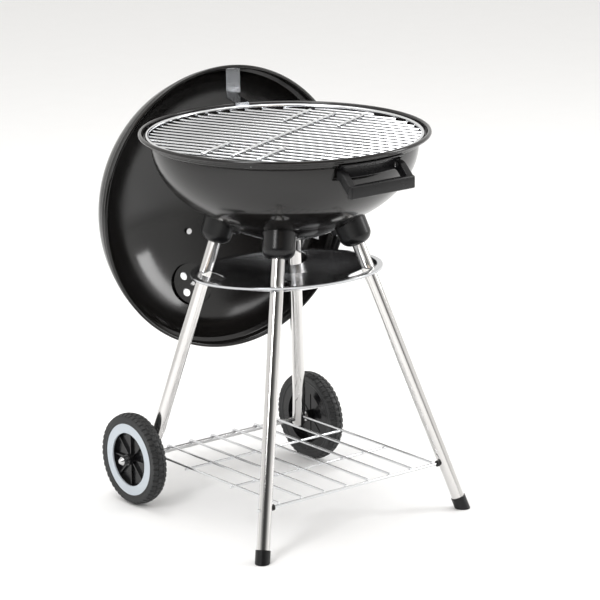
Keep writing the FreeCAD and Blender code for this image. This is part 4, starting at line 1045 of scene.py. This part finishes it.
# %% [markdown]
# ## Finishes for the pieces kept from the engineering model
#
# Sockets, caps, rivets and the wheel centre have their true shape in the engineering model already,
# so they stay as they are and only take a finish.

# %% Kept pieces
FINISH_OF_SLOT = {"black_enamel": enamel, "black_plastic": plastic, "chrome_wire": chrome,
                  "plated_wire": grey_wire, "polished_tube": tube_steel, "bright_sheet": bright,
                  "zinc_hardware": zinc, "tyre_black": rubber, "wheel_black": hub_black,
                  "wheel_pale": pale}
slot_of_node = {part["node"]: part["material_slot"] for part in record["subparts"]}
for node, kept in frame["nodes"].items():
    material = FINISH_OF_SLOT[slot_of_node[node]]
    for place in kept.material_slots:
        place.material = material
    if not kept.material_slots:
        kept.data.materials.append(material)
print(len(frame["nodes"]), "nodes have a finish")

# %% [markdown]
# ## Floor, light and camera
#
# A pale floor under a white surround gives black enamel something bright to reflect. Four soft
# lights, left, right, above and in front, make the long highlights that show the roundness of the
# bowl. One fixed side of the surround is dark to everything but the camera, so the enamel stays black.

# %% Floor
def pale_floor(half=6.0, z=-0.0008):
    mesh = bpy.data.meshes.new("floor")
    corners = [(-half, -half, z), (half, -half, z), (half, half, z), (-half, half, z)]
    mesh.from_pydata(corners, [], [(0, 1, 2, 3)])
    floor = bpy.data.objects.new("floor", mesh)
    bpy.context.scene.collection.objects.link(floor)
    mesh.materials.append(finish("pale floor", (0.90, 0.90, 0.90), (0.92, 0.92, 0.92), rough=(0.6, 0.8),
                                 skin=(60.0, 0.00001), dust=0.0, specular=0.1))


pale_floor()


# %% Light
def soft_light(name, place, target, size, power, colour=(1, 1, 1)):
    lamp = bpy.data.lights.new(name, "AREA")
    lamp.shape = "RECTANGLE"
    lamp.size, lamp.size_y = size
    lamp.energy = power
    lamp.color = colour
    holder = bpy.data.objects.new(name, lamp)
    holder.location = place
    way = Vector(target) - Vector(place)
    holder.rotation_euler = way.to_track_quat("-Z", "Y").to_euler()
    bpy.context.scene.collection.objects.link(holder)


def surround(camera_way, bright, dark):
    """White to the camera; to everything else a room that darkens towards the camera's side.

    The strength falls smoothly with the cosine between a direction and the camera's."""
    world = bpy.data.worlds.new("studio")
    bpy.context.scene.world = world
    world.use_nodes = True
    nodes, links = world.node_tree.nodes, world.node_tree.links
    room = nodes["Background"]
    way = nodes.new("ShaderNodeTexCoord")
    cosine = nodes.new("ShaderNodeVectorMath")
    cosine.operation = "DOT_PRODUCT"
    cosine.inputs[1].default_value = camera_way
    links.new(way.outputs["Generated"], cosine.inputs[0])
    fall = nodes.new("ShaderNodeMapRange")
    fall.interpolation_type = "SMOOTHSTEP"
    fall.inputs["From Min"].default_value = 0.25
    fall.inputs["From Max"].default_value = 0.97
    fall.inputs["To Min"].default_value = bright
    fall.inputs["To Max"].default_value = dark
    links.new(cosine.outputs["Value"], fall.inputs["Value"])
    room.inputs["Color"].default_value = (1.0, 0.99, 0.97, 1.0)
    links.new(fall.outputs["Result"], room.inputs["Strength"])
    white = nodes.new("ShaderNodeBackground")
    white.inputs["Color"].default_value = (1.0, 1.0, 1.0, 1.0)
    path = nodes.new("ShaderNodeLightPath")
    choose = nodes.new("ShaderNodeMixShader")
    links.new(path.outputs["Is Camera Ray"], choose.inputs["Fac"])
    links.new(room.outputs["Background"], choose.inputs[1])
    links.new(white.outputs["Background"], choose.inputs[2])
    links.new(choose.outputs["Shader"], nodes["World Output"].inputs["Surface"])


middle = (0.0, 0.0, 0.4)
soft_light("key left", (-2.6, -1.0, 2.2), middle, (0.8, 1.8), 42)
soft_light("fill right", (2.6, -1.6, 1.6), middle, (0.7, 1.8), 30)
soft_light("top", (0.2, 0.4, 3.2), middle, (2.2, 2.2), 55)
soft_light("warm front", (-1.5, -3.2, 2.9), middle, (1.8, 0.7), 9, (1.0, 0.84, 0.68))
surround((-0.618, -0.786, 0.0), 0.95, 0.05)
bpy.context.scene.view_settings.view_transform = "Standard"

# %% [markdown]
# The camera stands far off with a long lens, as in a catalogue picture, so that the legs stay nearly
# parallel and the bowl's lip is a shallow ellipse.

# %% Camera
CAMERA_FROM = np.array([-3004.6, -3821.1, 1656.1])
CAMERA_AT = np.array([16.4, -12.9, 342.6])
CAMERA_ROLL = 0.011
back = (CAMERA_FROM - CAMERA_AT) / np.linalg.norm(CAMERA_FROM - CAMERA_AT)
side = np.cross([0, 0, 1], back)
side /= np.linalg.norm(side)
rise = np.cross(back, side)
tilt = np.stack([side - CAMERA_ROLL * rise, rise + CAMERA_ROLL * side, back], axis=1)
tilt /= np.linalg.norm(tilt, axis=0)
lens = bpy.data.cameras.new("camera")
lens.lens, lens.sensor_width = 190.2, 36.0
camera = bpy.data.objects.new("camera", lens)
place = Matrix(tilt.tolist()).to_4x4()
place.translation = Vector((CAMERA_FROM + axis_point) * MM)
camera.matrix_world = place
bpy.context.scene.collection.objects.link(camera)
bpy.context.scene.camera = camera
